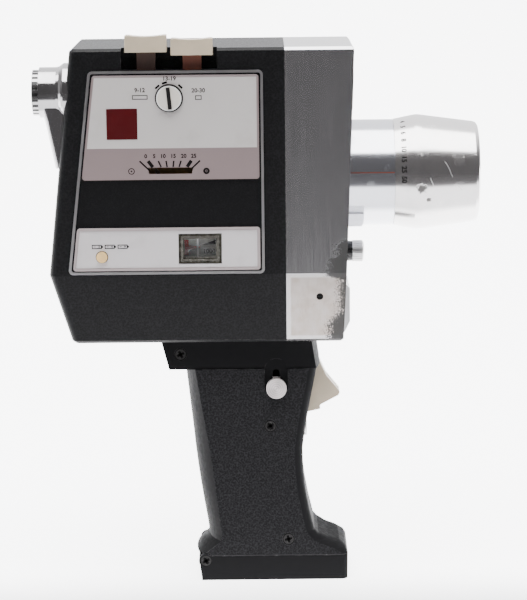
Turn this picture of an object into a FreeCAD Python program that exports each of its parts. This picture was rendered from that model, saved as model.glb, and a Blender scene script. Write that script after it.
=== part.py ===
import FreeCAD, Part
import math
import os
from FreeCAD import Vector

# Movie camera with pistol grip, in millimetres.
# +X is the way the lens looks, +Z is up, and -Y is the side with the control panel.
# The origin is the middle of the tripod socket, on the underside of the foot.

# Fits and gaps shared by mating pieces
RUNNING_FIT = 0.06
SLIDING_GAP = 0.3
SEAM_GAP = 0.15

# Body envelope: a faceted box that is widest at a crease low on its sides
BODY_BOTTOM_Z = 102.8
CREASE_Z = 131.4
BODY_TOP_Z = 222.6
BODY_HALF_WIDTH = 28.0
BOTTOM_TUCK = 2.8
BOTTOM_HALF_WIDTH = BODY_HALF_WIDTH - BOTTOM_TUCK
REAR_X_BOTTOM = -80.1
REAR_X_CREASE = -88.7
REAR_X_TOP = -78.6
FRONT_X_BOTTOM = 30.1
FRONT_X_CREASE = 31.5
FRONT_X_TOP = 34.8
HOUSING_SEAM_X = 7.0
BODY_WALL = 2.0
HOUSING_WALL = 3.5
CORNER_RADIUS = 3.0
EDGE_CHAMFER = 1.1

# Control panel on the near side
PANEL_TOP_Z = 213.8
PANEL_BOTTOM_Z = 131.8
PANEL_FRONT_X = -1.65
PANEL_REAR_X_TOP = -71.2
PANEL_REAR_X_BOTTOM = -80.9
PANEL_THICKNESS = 1.8
PANEL_REAR_Y = -BODY_HALF_WIDTH + PANEL_THICKNESS
TRIM_WIDTH = 1.05
TRIM_HEIGHT = 1.0
TRIM_OVERLAP = 0.5
PLATE_GAP = 0.7
DIAL_PLATE_THICKNESS = 0.7
DIAL_PLATE_BOTTOM_Z = 170.2
METER_PLATE_THICKNESS = 0.5
METER_PLATE_TOP_Z = 150.7
METER_PLATE_RIM = 1.0
METER_PLATE_RIM_HEIGHT = 0.35

# Finder dial, test button and footage slot
DIAL_X = -39.1
DIAL_Z = 202.9
DIAL_RADIUS = 5.0
DIAL_HEIGHT = 1.6
DIAL_SHAFT_RADIUS = 1.5
DIAL_BAR_TILT = -5.4
CRANK_RADIUS = 3.0
CRANK_PIN_RADIUS = 0.7
COLLAR_RADIUS = 5.6
COLLAR_HEIGHT = 0.6
BUTTON_X = -67.2
BUTTON_Z = 139.0
BUTTON_RADIUS = 2.2
BUTTON_PROUD = 1.1
BUTTON_TRAVEL = 0.9
SLOT_X_REAR = -48.2
SLOT_X_FRONT = -29.8
SLOT_Z = 173.8
SLOT_HEIGHT = 2.6
POINTER_PIVOT_X = -38.8
POINTER_PIVOT_Z = 164.7
POINTER_LENGTH = 12.4
POINTER_REST_DEG = 34.0

# Battery meter
METER_X_REAR = -36.3
METER_X_FRONT = -18.9
METER_Z_BOTTOM = 135.9
METER_Z_TOP = 148.2
METER_DEPTH = 11.6
METER_WALL = 1.5
METER_BACK_Y = PANEL_REAR_Y + METER_DEPTH
SCALE_Y = PANEL_REAR_Y + 7.0
NEEDLE_Y = PANEL_REAR_Y + 5.4
NEEDLE_X = -28.8
NEEDLE_PIVOT_Z = 133.4

# Two keys in a notch of the top edge
KEY_NOTCH_X_REAR = -58.0
KEY_NOTCH_X_FRONT = -19.8
KEY_NOTCH_DEPTH = 5.7
KEY_LENGTH = 16.7
KEY_HEIGHT = 6.7
KEY_PROUD = 1.5
KEY_DISH = 0.6
WIDE_KEY_X = -48.1
WIDE_KEY_SINK = 1.4
WIDE_KEY_BOTTOM_Z = BODY_TOP_Z - WIDE_KEY_SINK
TELE_KEY_X = -29.8
TELE_KEY_SINK = 2.7
TELE_KEY_BOTTOM_Z = BODY_TOP_Z - TELE_KEY_SINK
STEM_WIDTH = 7.4
STEM_THICKNESS = 1.4
STEM_DROP = 14.2
STEM_FOOT_Z = WIDE_KEY_BOTTOM_Z - STEM_DROP
STEM_Y = PANEL_REAR_Y + 0.4
KEY_TRAVEL_WIDE = 2.5
KEY_TRAVEL_TELE = 1.3

# Finder and eyepiece
FINDER_TUBE_SIDE = 14.0
FINDER_WALL_GAP = 2.0
FINDER_Y = -BODY_HALF_WIDTH + HOUSING_WALL + FINDER_WALL_GAP + FINDER_TUBE_SIDE / 2
FINDER_Z = 204.4
FINDER_TUBE_WALL = 1.0
FINDER_REAR_X = REAR_X_TOP + 1.0
FINDER_FRONT_X = 29.0
FINDER_WINDOW_SIDE = 13.0
EYEPIECE_RADIUS = 10.2
EYEPIECE_REAR_X = -91.5
EYEPIECE_FLANGE_RADIUS = 11.8
EYEPIECE_BORE = 7.7
EYE_SLEEVE_RADIUS = EYEPIECE_BORE - RUNNING_FIT
EYE_LENS_RADIUS = 5.6
EYE_RING_RADIUS = 9.15
EYE_RING_WIDTH = 2.6
EYE_RING_TEETH = 24
WEDGE_TIP_Z = 174.5
WEDGE_KNEE_Z = 192.5
WEDGE_HALF_WIDTH = 8.6

# Lens
LENS_Z = 168.7
BARREL_RADIUS = 21.7
BARREL_REAR_X = 28.0
BARREL_FRONT_X = 51.3
SPIGOT_RADIUS = 11.5
SPIGOT_REAR_X = 14.0
ZOOM_BORE = 14.5
ZOOM_CHAMBER_X = 35.2
SLEEVE_RADIUS = 18.9
SLEEVE_BORE = 15.5
SLEEVE_FRONT_X = 72.0
FOCUS_REAR_RADIUS = 21.8
FOCUS_WIDE_RADIUS = 23.65
FOCUS_WIDE_X = 61.1
FOCUS_RIM_RADIUS = 20.6
FOCUS_RIM_X = 86.0
FILTER_THREAD_RADIUS = 18.5
FILTER_THREAD_LENGTH = 4.0
ZOOM_RING_FRONT_X = 59.0
ZOOM_CHAMBER_FRONT_X = 60.0
ZOOM_RING_BORE = 13.2
ZOOM_GEAR_X = 36.2
ZOOM_GEAR_WIDTH = 2.4
ZOOM_MODULE = 0.5
ZOOM_RING_TEETH = 60
ZOOM_PINION_TEETH = 10
ZOOM_PINION_OFFSET = 17.5
ZOOM_SHAFT_RADIUS = 1.0
ZOOM_MOTOR_REAR_X = 13.2
ZOOM_MOTOR_FRONT_X = 26.0
ZOOM_MOTOR_RADIUS = 5.4
REAR_GROUP_BORE = 9.0
CELL_REAR_X = 61.0
CELL_FRONT_X = 79.4
CELL_BORE = 13.6
FRONT_GLASS_X = 74.0
FOCUS_SLEEVE_END_X = 74.0

# Knob, photocell and screw hole on the front housing
KNOB_Z = 135.9
KNOB_RADIUS = 4.4
KNOB_LENGTH = 4.8
KNOB_SHAFT_RADIUS = 1.5
KNOB_COLLAR_FRONT_X = 34.7
PHOTOCELL_Z_BOTTOM = 103.9
PHOTOCELL_Z_TOP = 124.3
PHOTOCELL_FRONT_X = 33.2
PHOTOCELL_HALF_WIDTH = 14.0
PHOTOCELL_OPENING_HALF = 10.0
SIDE_HOLE_X = 20.5
SIDE_HOLE_Z = 121.7
SIDE_HOLE_RADIUS = 1.4

# Film door on the far side
DOOR_MARGIN = 4.5
DOOR_FRONT_X = 1.5
DOOR_TOP_Z = 217.2
DOOR_BOTTOM_Z = 108.8
DOOR_SKIN = 1.2
DOOR_LEDGE = 1.8
DOOR_GAP = 0.2
HINGE_X = 2.6
HINGE_KNUCKLE_RADIUS = 1.3
HINGE_Y = BODY_HALF_WIDTH + HINGE_KNUCKLE_RADIUS + 0.1
HINGE_PIN_RADIUS = 0.6
HINGE_BOTTOM_Z = 140.0
HINGE_KNUCKLE_LENGTH = 10.0
HINGE_KNUCKLES = 7
LATCH_X = -68.0
LATCH_Z = 165.0
LATCH_RADIUS = 7.0
LATCH_SHAFT_RADIUS = 2.5

# Film transport and drive
FRONT_PLATE_THICKNESS = 2.0
PLATE_FRONT_X = HOUSING_SEAM_X
PLATE_REAR_X = HOUSING_SEAM_X - FRONT_PLATE_THICKNESS
MECH_PLATE_THICKNESS = 2.0
FINDER_PLATE_GAP = 1.0
MECH_PLATE_Y = FINDER_Y + FINDER_TUBE_SIDE / 2 + FINDER_PLATE_GAP + MECH_PLATE_THICKNESS / 2
MECH_Y0 = MECH_PLATE_Y - MECH_PLATE_THICKNESS / 2
MECH_Y1 = MECH_PLATE_Y + MECH_PLATE_THICKNESS / 2
PILLARS = [(-72.0, 160.0), (-68.0, 190.0), (-8.0, 190.0), (-8.0, 150.0)]
FILM_X = PLATE_REAR_X - 1.4
GATE_LOW_Z = 134.0
GATE_HIGH_Z = 188.0
CLAW_Y = 10.9
GATE_PLATE_GAP = 0.6
CLAW_TIP_Z = 146.0
SHAFT_RADIUS = 1.5
SPOOL_RADIUS = 25.5
SPOOL_WIDTH = 17.6
SPOOL_CENTRE_Y = 4.0
SPINDLE_X = -51.0
FEED_Z = 190.0
TAKEUP_Z = 133.0
SPINDLE_RADIUS = 3.9
MOTOR_Y = -13.0
MOTOR_Z = 121.0
MOTOR_RADIUS = 8.8
MOTOR_LENGTH = 32.0
SHUTTER_Y = -8.5
SHUTTER_Z = 159.6
SHUTTER_RADIUS = 15.5
SHUTTER_X = 10.8
GEAR_MODULE = 0.6
PINION_TEETH = 14
IDLER_TEETH = 48
SHUTTER_TEETH = 28
GEAR_WIDTH = 2.0
GEAR_PLANE_X = 7.9
WORM_RADIUS = 3.1
WORM_WHEEL_TEETH = 40

# Grip
GRIP_HALF = 17.7
PANEL_HALF = 18.3
GRIP_WALL = 1.8
GRIP_TOP_Z = 102.8
BLOCK_BOTTOM_Z = 90.0
FOOT_SEAM_Z = 10.5
CAP_HINGE_X = -27.4
CAP_HINGE_Z = 8.4
CAP_EAR_RADIUS = 3.0
TRIGGER_HALF = 4.6
TRIGGER_PIVOT_X = 17.2
TRIGGER_PIVOT_Z = 89.2
TRIGGER_PIN_RADIUS = 1.0
LOCK_X = 2.6
LOCK_Z = 82.2
LOCK_RADIUS = 4.15
LOCK_TRAVEL = 5.7
LOCK_SLOT_WIDTH = 3.0
SCREW_HEAD_RADIUS = 2.4
SCREW_HEAD_HEIGHT = 1.2
SCREW_SHANK_RADIUS = 1.3
JACK_Z = 61.3
JACK_FLANGE_RADIUS = 3.7
JACK_BORE = 1.8
JACK_LENGTH = 12.0
CELL_RADIUS = 7.0
CELL_LENGTH = 50.5
CELL_PITCH = 14.1
CELLS_X = -9.0
CELLS_BOTTOM_Z = 8.2
TRIPOD_RADIUS = 2.6
TRIPOD_DEPTH = 7.0
TRIPOD_BUSH_RADIUS = 5.5
GRIP_STEP = 0.6
BLOCK_FRONT_BULGE = 1.9
BLOCK_REAR_BULGE = 0.5
# X and Z at the top and at the bottom of the block's rear and front edges, at the side faces
BLOCK_REAR = [(-44.7, 102.8), (-41.4, 90.0)]
BLOCK_FRONT = [(17.1, 102.8), (19.1, 90.0)]
BOSS_RADIUS = 2.0
SCREW_SPOTS = [(-36.6, 96.3, GRIP_HALF), (0.0, 65.9, PANEL_HALF), (7.1, 17.5, PANEL_HALF)]
HEAD_CLEARANCE = 0.2
CAP_SHANK_RADIUS = 0.9
LUG_RADIUS = 1.7
LUG_INNER = 12.3
LUG_OUTER = 16.3
LUG_SWING_DROP = 1.3
CAP_CHEEK_INNER = 16.5
CAP_FLOOR = 2.5
CAP_REAR_TOP = -30.4
CAP_REAR_BOTTOM = -29.1
CAP_FRONT_TOP = 31.9
CAP_FRONT_BOTTOM = 31.7
CAP_CORNER = 2.8
SLOT_TOP_Z = LOCK_Z + LOCK_TRAVEL + LOCK_SLOT_WIDTH / 2 + 0.2
ARCH_RADIUS = 4.8
ARCH_DEPTH = 0.5
TRIGGER_SLOT_TOP_Z = 92.2
TRIGGER_SLOT_BOTTOM_Z = 68.0
TRIGGER_SLOT_GAP = 0.3
JACK_FACE_X = 15.2
# Height, rear X at the side faces, rear X in the middle, front X and front corner radius
GRIP_SECTIONS = [(93.0, -31.2, -35.7, 19.9, 5.0), (85.4, -29.9, -34.7, 18.5, 5.0),
                 (76.0, -28.5, -33.7, 16.6, 5.0), (67.4, -27.1, -32.8, 15.0, 5.0),
                 (61.0, -26.1, -32.1, 14.0, 5.0), (55.3, -25.1, -31.6, 13.3, 5.0),
                 (46.0, -23.9, -30.5, 13.5, 5.0), (37.9, -22.9, -29.4, 14.4, 5.0),
                 (29.0, -21.8, -28.0, 16.0, 5.0), (20.6, -20.8, -26.6, 18.0, 5.0),
                 (18.8, -20.6, -26.4, 19.6, 5.4), (16.6, -20.9, -26.2, 23.8, 8.0),
                 (15.1, -22.9, -27.4, 28.4, 9.5), (13.0, -25.7, -29.6, 30.9, 6.5),
                 (10.5, -28.9, -31.4, 31.9, 2.8)]

# Bolts
BOLT_RADIUS = 1.5
BRACKET_BOLTS = [(-30.0, -12.0), (-30.0, 12.0), (2.0, 0.0)]
TOP_SCREW_Y = BODY_HALF_WIDTH - 6.5
LOW_SCREW_Y = BODY_HALF_WIDTH - 8.5
TOP_SCREW_Z = 216.0
LOW_SCREW_Z = 110.0
FRONT_PLATE_SCREWS = [(-TOP_SCREW_Y, TOP_SCREW_Z), (TOP_SCREW_Y, TOP_SCREW_Z),
                      (-LOW_SCREW_Y, LOW_SCREW_Z), (LOW_SCREW_Y, LOW_SCREW_Z)]

# Directions
X_AXIS = Vector(1, 0, 0)
Y_AXIS = Vector(0, 1, 0)
Z_AXIS = Vector(0, 0, 1)


def box(x0, x1, y0, y1, z0, z1):
    """A block between two corners."""
    return Part.makeBox(x1 - x0, y1 - y0, z1 - z0, Vector(x0, y0, z0))


def rod(start, axis, radius, length):
    """A round rod from start along axis."""
    return Part.makeCylinder(radius, length, Vector(*start), axis)


def pipe(start, axis, radius, bore, length):
    """A round tube from start along axis."""
    return rod(start, axis, radius, length).cut(rod(start, axis, bore, length))


def fuse_all(shapes):
    """One solid from touching or overlapping shapes."""
    result = shapes[0].multiFuse(list(shapes[1:])) if len(shapes) > 1 else shapes[0]
    return result.removeSplitter()


def cut_all(shape, tools):
    """The shape with every tool taken out of it."""
    return shape.cut(list(tools)) if tools else shape


def plate_xz(points, y0, y1):
    """A plate whose outline is drawn in X and Z and that lies between two Y values."""
    corners = [Vector(x, y0, z) for x, z in points]
    face = Part.Face(Part.makePolygon(corners + corners[:1]))
    return face.extrude(Vector(0, y1 - y0, 0))


def round_upright(solid, radius, axis=Y_AXIS, pick=None):
    """Rounds the straight edges that run along axis."""
    edges = []
    for edge in solid.Edges:
        if not isinstance(edge.Curve, Part.Line):
            continue
        if abs(abs(edge.tangentAt(edge.FirstParameter).dot(axis)) - 1) > 1e-6:
            continue
        if pick is None or pick(edge.CenterOfMass):
            edges.append(edge)
    return solid.makeFillet(radius, edges)


def turned(profile, y, z):
    """A solid of revolution about a line along X, from (x, radius) points."""
    points = [Vector(x, y, z + r) for x, r in profile]
    points = [Vector(profile[0][0], y, z)] + points + [Vector(profile[-1][0], y, z)]
    clean = [points[0]]
    for point in points[1:]:
        if point.distanceToPoint(clean[-1]) > 1e-9:
            clean.append(point)
    face = Part.Face(Part.makePolygon(clean + clean[:1]))
    return face.revolve(Vector(0, y, z), X_AXIS, 360)


def turn_about(shape, point, axis, degrees):
    """The shape turned about a line."""
    copy = shape.copy()
    copy.rotate(point, axis, degrees)
    return copy


def lerp(a, b, share):
    """The value at a share of the way from a to b."""
    return a + (b - a) * share


# Body envelope

def body_section(z):
    """Rear X, front X and half width of the body's outside at a height."""
    if z >= CREASE_Z:
        share = (z - CREASE_Z) / (BODY_TOP_Z - CREASE_Z)
        return (lerp(REAR_X_CREASE, REAR_X_TOP, share), lerp(FRONT_X_CREASE, FRONT_X_TOP, share),
                BODY_HALF_WIDTH)
    share = (z - BODY_BOTTOM_Z) / (CREASE_Z - BODY_BOTTOM_Z)
    return (lerp(REAR_X_BOTTOM, REAR_X_CREASE, share), lerp(FRONT_X_BOTTOM, FRONT_X_CREASE, share),
            lerp(BOTTOM_HALF_WIDTH, BODY_HALF_WIDTH, share))


def level_wire(x0, x1, half, z, radius):
    """A level rectangle with round rear corners and sharp front corners."""
    edges = []
    corners = [Vector(x1, -half, z), Vector(x1, half, z)]
    for cx, cy, start in ((x0 + radius, half - radius, 90), (x0 + radius, radius - half, 180)):
        spots = [Vector(cx + radius * math.cos(math.radians(start + turn)),
                        cy + radius * math.sin(math.radians(start + turn)), z) for turn in (0, 45, 90)]
        corners += [spots[0], spots[2]]
        edges.append(Part.Arc(*spots).toShape())
    for start, end in ((0, 1), (1, 2), (3, 4), (5, 0)):
        edges.append(Part.LineSegment(corners[start], corners[end]).toShape())
    return Part.Wire(Part.__sortEdges__(edges))


def envelope(inset, bevelled=False):
    """The body's faceted outer form, or the same form drawn in by a wall."""
    radius = max(CORNER_RADIUS - inset, 0.6)
    low = BODY_BOTTOM_Z + inset
    high = BODY_TOP_Z - inset
    levels = [(low, 0), (CREASE_Z, 0), (high, 0)]
    if bevelled:
        levels = [(low, EDGE_CHAMFER), (low + EDGE_CHAMFER, 0), (CREASE_Z, 0),
                  (high - EDGE_CHAMFER, 0), (high, EDGE_CHAMFER)]
    wires = []
    for z, step in levels:
        rear, front, half = body_section(z)
        drawn_in = inset + step
        wires.append(level_wire(rear + drawn_in, front - drawn_in, half - drawn_in, z, radius - step))
    return Part.makeLoft(wires, True, True)


def far_rear(x0=-200, x1=200):
    """A slab of space between two X values."""
    return box(x0, x1, -100, 100, 50, 300)


def panel_outline(inset):
    """The control panel's outline, drawn in by inset on every side."""
    slope = (PANEL_REAR_X_TOP - PANEL_REAR_X_BOTTOM) / (PANEL_TOP_Z - PANEL_BOTTOM_Z)
    side = inset * math.hypot(1, slope)
    top = PANEL_TOP_Z - inset
    bottom = PANEL_BOTTOM_Z + inset
    return [(panel_rear_x(bottom) + side, bottom), (PANEL_FRONT_X - inset, bottom),
            (PANEL_FRONT_X - inset, top), (panel_rear_x(top) + side, top)]


def panel_rear_x(z):
    """X of the panel's slanted rear edge at a height."""
    share = (z - PANEL_BOTTOM_Z) / (PANEL_TOP_Z - PANEL_BOTTOM_Z)
    return lerp(PANEL_REAR_X_BOTTOM, PANEL_REAR_X_TOP, share)


def panel_prism(inset, y0, y1, radius):
    """A prism with the panel's outline and round corners."""
    return round_upright(plate_xz(panel_outline(inset), y0, y1), radius)


def door_outline(inset):
    """The film door's outline, drawn in by inset."""
    bottom = DOOR_BOTTOM_Z + inset
    top = DOOR_TOP_Z - inset
    margin = DOOR_MARGIN + inset
    front = DOOR_FRONT_X - inset
    return [(body_section(bottom)[0] + margin, bottom), (front, bottom), (front, top),
            (body_section(top)[0] + margin, top), (REAR_X_CREASE + margin, CREASE_Z)]


def door_prism(inset):
    """A prism through the far side with the door's outline."""
    return round_upright(plate_xz(door_outline(inset), BODY_HALF_WIDTH - 18, BODY_HALF_WIDTH + 30), 3.0,
                         pick=lambda spot: abs(spot.z - CREASE_Z) > 1.0)


def body_shell():
    """Black casing: open in front, on the panel side and on the door side."""
    shell = envelope(0, bevelled=True).cut(envelope(BODY_WALL)).common(far_rear(x1=HOUSING_SEAM_X))
    notch_front = box(KEY_NOTCH_X_REAR, KEY_NOTCH_X_FRONT, -BODY_HALF_WIDTH - 5,
                      -BODY_HALF_WIDTH + KEY_NOTCH_DEPTH, PANEL_TOP_Z + 0.1, BODY_TOP_Z + 5)
    lining = box(KEY_NOTCH_X_REAR - BODY_WALL, KEY_NOTCH_X_FRONT + BODY_WALL,
                 PANEL_REAR_Y + 0.2, -BODY_HALF_WIDTH + KEY_NOTCH_DEPTH + BODY_WALL,
                 PANEL_TOP_Z + 0.1 - BODY_WALL, BODY_TOP_Z - BODY_WALL)
    shell = fuse_all([shell, lining]).cut(notch_front)
    openings = [panel_prism(TRIM_OVERLAP - SEAM_GAP, -BODY_HALF_WIDTH - 3, -BODY_HALF_WIDTH + 3, 1.5)]
    outer_layer = envelope(-5).cut(envelope(DOOR_SKIN + 0.1))
    openings.append(outer_layer.common(door_prism(-DOOR_GAP)))
    openings.append(door_prism(DOOR_LEDGE))
    openings.append(rod((-110, FINDER_Y, FINDER_Z), X_AXIS, EYEPIECE_BORE, 60))
    for centre in (WIDE_KEY_X, TELE_KEY_X):
        openings.append(box(centre - STEM_WIDTH / 2 - SLIDING_GAP, centre + STEM_WIDTH / 2 + SLIDING_GAP,
                            PANEL_REAR_Y, STEM_Y + STEM_THICKNESS + SLIDING_GAP,
                            PANEL_TOP_Z - 5, PANEL_TOP_Z + 5))
    for x, y in BRACKET_BOLTS:
        openings.append(rod((x, y, BODY_BOTTOM_Z - 1), Z_AXIS, BOLT_RADIUS, BODY_WALL + 2))
    return cut_all(shell, openings)


def front_x(z):
    """X of the front housing's outside at a height."""
    return body_section(z)[1]


def front_housing():
    """Brushed housing that carries the lens, the front knob and the photocell."""
    shell = envelope(0, bevelled=True).cut(envelope(HOUSING_WALL)).common(far_rear(x0=HOUSING_SEAM_X))
    holes = [rod((20, 0, LENS_Z), X_AXIS, SPIGOT_RADIUS, 40),
             rod((20, 0, LENS_Z - ZOOM_PINION_OFFSET), X_AXIS, ZOOM_SHAFT_RADIUS + RUNNING_FIT, 40),
             rod((20, 0, KNOB_Z), X_AXIS, KNOB_SHAFT_RADIUS + RUNNING_FIT, 40),
             rod((SIDE_HOLE_X, -40, SIDE_HOLE_Z), Y_AXIS, SIDE_HOLE_RADIUS, 20),
             box(20, 50, FINDER_Y - FINDER_WINDOW_SIDE / 2, FINDER_Y + FINDER_WINDOW_SIDE / 2,
                 FINDER_Z - FINDER_WINDOW_SIDE / 2, FINDER_Z + FINDER_WINDOW_SIDE / 2),
             box(20, 50, -PHOTOCELL_OPENING_HALF, PHOTOCELL_OPENING_HALF,
                 PHOTOCELL_Z_BOTTOM + 6.0, PHOTOCELL_Z_TOP - 4.0)]
    for y, z in FRONT_PLATE_SCREWS:
        holes.append(rod((HOUSING_SEAM_X, y, z), X_AXIS, BOLT_RADIUS, 6))
    bosses = []
    for y, z in FRONT_PLATE_SCREWS:
        boss = rod((HOUSING_SEAM_X, y, z), X_AXIS, 4.0, 10.0)
        bosses.append(boss.common(envelope(HOUSING_WALL - 1.0)))
    shell = fuse_all([shell] + bosses)
    return cut_all(shell, holes)


# Control panel

def meter_opening(gap, y0, y1):
    """The meter's window as a block, grown by a gap."""
    return box(METER_X_REAR - gap, METER_X_FRONT + gap, y0, y1, METER_Z_BOTTOM - gap, METER_Z_TOP + gap)


def footage_slot(gap, y0, y1):
    """The slot in front of the footage pointer; its ends slant inwards at the bottom."""
    low = SLOT_Z - SLOT_HEIGHT / 2 - gap
    high = SLOT_Z + SLOT_HEIGHT / 2 + gap
    taper = 0.7
    return plate_xz([(SLOT_X_REAR + taper - gap, low), (SLOT_X_FRONT - taper + gap, low),
                     (SLOT_X_FRONT + gap, high), (SLOT_X_REAR - gap, high)], y0, y1)


def side_panel():
    """Black panel that closes the near side and carries the two plates."""
    panel = panel_prism(TRIM_OVERLAP, -BODY_HALF_WIDTH, PANEL_REAR_Y, 1.4)
    y0, y1 = -BODY_HALF_WIDTH - 1, PANEL_REAR_Y + 1
    holes = [meter_opening(0.0, y0, y1), footage_slot(2.0, y0, y1),
             rod((DIAL_X, y0, DIAL_Z), Y_AXIS, DIAL_SHAFT_RADIUS + RUNNING_FIT, y1 - y0),
             rod((BUTTON_X, y0, BUTTON_Z), Y_AXIS, BUTTON_RADIUS + RUNNING_FIT, y1 - y0)]
    return cut_all(panel, holes)


def panel_trim():
    """Silver border that covers the joint round the side panel."""
    outer = panel_prism(0, -BODY_HALF_WIDTH - TRIM_HEIGHT, -BODY_HALF_WIDTH, 1.9)
    inner = panel_prism(TRIM_WIDTH, -BODY_HALF_WIDTH - TRIM_HEIGHT - 1, -BODY_HALF_WIDTH + 1, 1.0)
    return outer.cut(inner)


def plate_corners(bottom, top):
    """Outline of a plate on the panel between two heights."""
    inset = TRIM_WIDTH + PLATE_GAP
    front = PANEL_FRONT_X - inset
    return [(panel_rear_x(bottom) + inset, bottom), (front, bottom), (front, top),
            (panel_rear_x(top) + inset, top)]


def dial_plate():
    """Printed plate with the finder dial, the footage scale and its slot."""
    y0, y1 = -BODY_HALF_WIDTH - DIAL_PLATE_THICKNESS, -BODY_HALF_WIDTH
    top = PANEL_TOP_Z - TRIM_WIDTH - PLATE_GAP
    plate = round_upright(plate_xz(plate_corners(DIAL_PLATE_BOTTOM_Z, top), y0, y1), 1.2)
    return cut_all(plate, [footage_slot(0, y0 - 1, y1 + 1),
                           rod((DIAL_X, y0 - 1, DIAL_Z), Y_AXIS, DIAL_SHAFT_RADIUS + RUNNING_FIT, 3)])


def meter_plate():
    """Lower plate with a raised rim, a window for the meter and a hole for the test button."""
    y0, y1 = -BODY_HALF_WIDTH - METER_PLATE_THICKNESS, -BODY_HALF_WIDTH
    bottom = PANEL_BOTTOM_Z + TRIM_WIDTH + 0.45
    outline = plate_corners(bottom, METER_PLATE_TOP_Z)
    plate = round_upright(plate_xz(outline, y0 - METER_PLATE_RIM_HEIGHT, y1), 1.2)
    rim = METER_PLATE_RIM
    field = [(outline[0][0] + rim, bottom + rim), (outline[1][0] - rim, bottom + rim),
             (outline[2][0] - rim, METER_PLATE_TOP_Z - rim),
             (outline[3][0] + rim, METER_PLATE_TOP_Z - rim)]
    field_cut = round_upright(plate_xz(field, y0 - 2, y0), 0.5)
    return cut_all(plate, [field_cut, meter_opening(0, y0 - 2, y1 + 1),
                           rod((BUTTON_X, y0 - 2, BUTTON_Z), Y_AXIS, BUTTON_RADIUS + RUNNING_FIT, 4)])


def dial_collar():
    """Dark ring round the finder dial."""
    y0 = -BODY_HALF_WIDTH - DIAL_PLATE_THICKNESS - COLLAR_HEIGHT
    return pipe((DIAL_X, y0, DIAL_Z), Y_AXIS, COLLAR_RADIUS, DIAL_RADIUS + 0.15, COLLAR_HEIGHT)


def finder_dial():
    """Turning dial with a raised bar across it, its shaft and a crank pin for the finder."""
    plate_y = -BODY_HALF_WIDTH - DIAL_PLATE_THICKNESS
    face_y = plate_y - DIAL_HEIGHT
    disc = rod((DIAL_X, face_y, DIAL_Z), Y_AXIS, DIAL_RADIUS, DIAL_HEIGHT - 0.05)
    shaft_end = FINDER_Y - FINDER_TUBE_SIDE / 2 + FINDER_TUBE_WALL + 0.4
    shaft = rod((DIAL_X, face_y + 0.5, DIAL_Z), Y_AXIS, DIAL_SHAFT_RADIUS, PANEL_REAR_Y + 1.2 - face_y)
    crank_y = PANEL_REAR_Y + 0.6
    crank = plate_xz([(DIAL_X - 1.4, DIAL_Z - 1.2), (DIAL_X + 1.4, DIAL_Z - 1.2),
                      (DIAL_X + 1.4, DIAL_Z + CRANK_RADIUS + 1.0),
                      (DIAL_X - 1.4, DIAL_Z + CRANK_RADIUS + 1.0)], crank_y, crank_y + 1.2)
    pin = rod((DIAL_X, crank_y + 0.6, DIAL_Z + CRANK_RADIUS), Y_AXIS, CRANK_PIN_RADIUS,
              shaft_end - crank_y - 0.6 + 1.6)
    bar = box(DIAL_X - 0.75, DIAL_X + 0.75, face_y - 0.35, face_y + 0.2,
              DIAL_Z - DIAL_RADIUS + 0.7, DIAL_Z + DIAL_RADIUS - 0.7)
    bar = turn_about(bar, Vector(DIAL_X, 0, DIAL_Z), Y_AXIS, DIAL_BAR_TILT)
    return fuse_all([disc, shaft, crank, pin, bar])


def battery_test_button():
    """Push button with a stop flange behind the panel."""
    y0 = -BODY_HALF_WIDTH - METER_PLATE_THICKNESS - BUTTON_PROUD
    stem = rod((BUTTON_X, y0, BUTTON_Z), Y_AXIS, BUTTON_RADIUS, PANEL_REAR_Y + 0.6 - y0)
    flange = rod((BUTTON_X, PANEL_REAR_Y + 0.1, BUTTON_Z), Y_AXIS, BUTTON_RADIUS + 1.0, 0.8)
    return fuse_all([stem, flange])


def test_switch():
    """Two leaf contacts on an insulating foot behind the test button."""
    back = PANEL_REAR_Y + 0.9 + BUTTON_TRAVEL + 0.4
    foot = box(BUTTON_X + 4.2, BUTTON_X + 9.2, PANEL_REAR_Y, back + 1.5, BUTTON_Z - 3, BUTTON_Z + 3)
    leaf = box(BUTTON_X - 3, BUTTON_X + 5, back, back + 0.4, BUTTON_Z - 2, BUTTON_Z + 2)
    return fuse_all([foot, leaf])


def footage_pointer():
    """Pointer that swings behind the footage slot, drawn at its zero end."""
    y0 = PANEL_REAR_Y + 0.3
    needle = box(POINTER_PIVOT_X - 0.7, POINTER_PIVOT_X + 0.7, y0, y0 + 0.6,
                 POINTER_PIVOT_Z, POINTER_PIVOT_Z + POINTER_LENGTH)
    hub = rod((POINTER_PIVOT_X, y0, POINTER_PIVOT_Z), Y_AXIS, 2.2, 1.4)
    shaft = rod((POINTER_PIVOT_X, y0, POINTER_PIVOT_Z), Y_AXIS, 1.0, MECH_PLATE_Y - y0 - 1.2)
    pointer = fuse_all([needle, hub])
    pointer = turn_about(pointer, Vector(POINTER_PIVOT_X, 0, POINTER_PIVOT_Z), Y_AXIS, -POINTER_REST_DEG)
    return fuse_all([pointer, shaft])


# Battery meter


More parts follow.
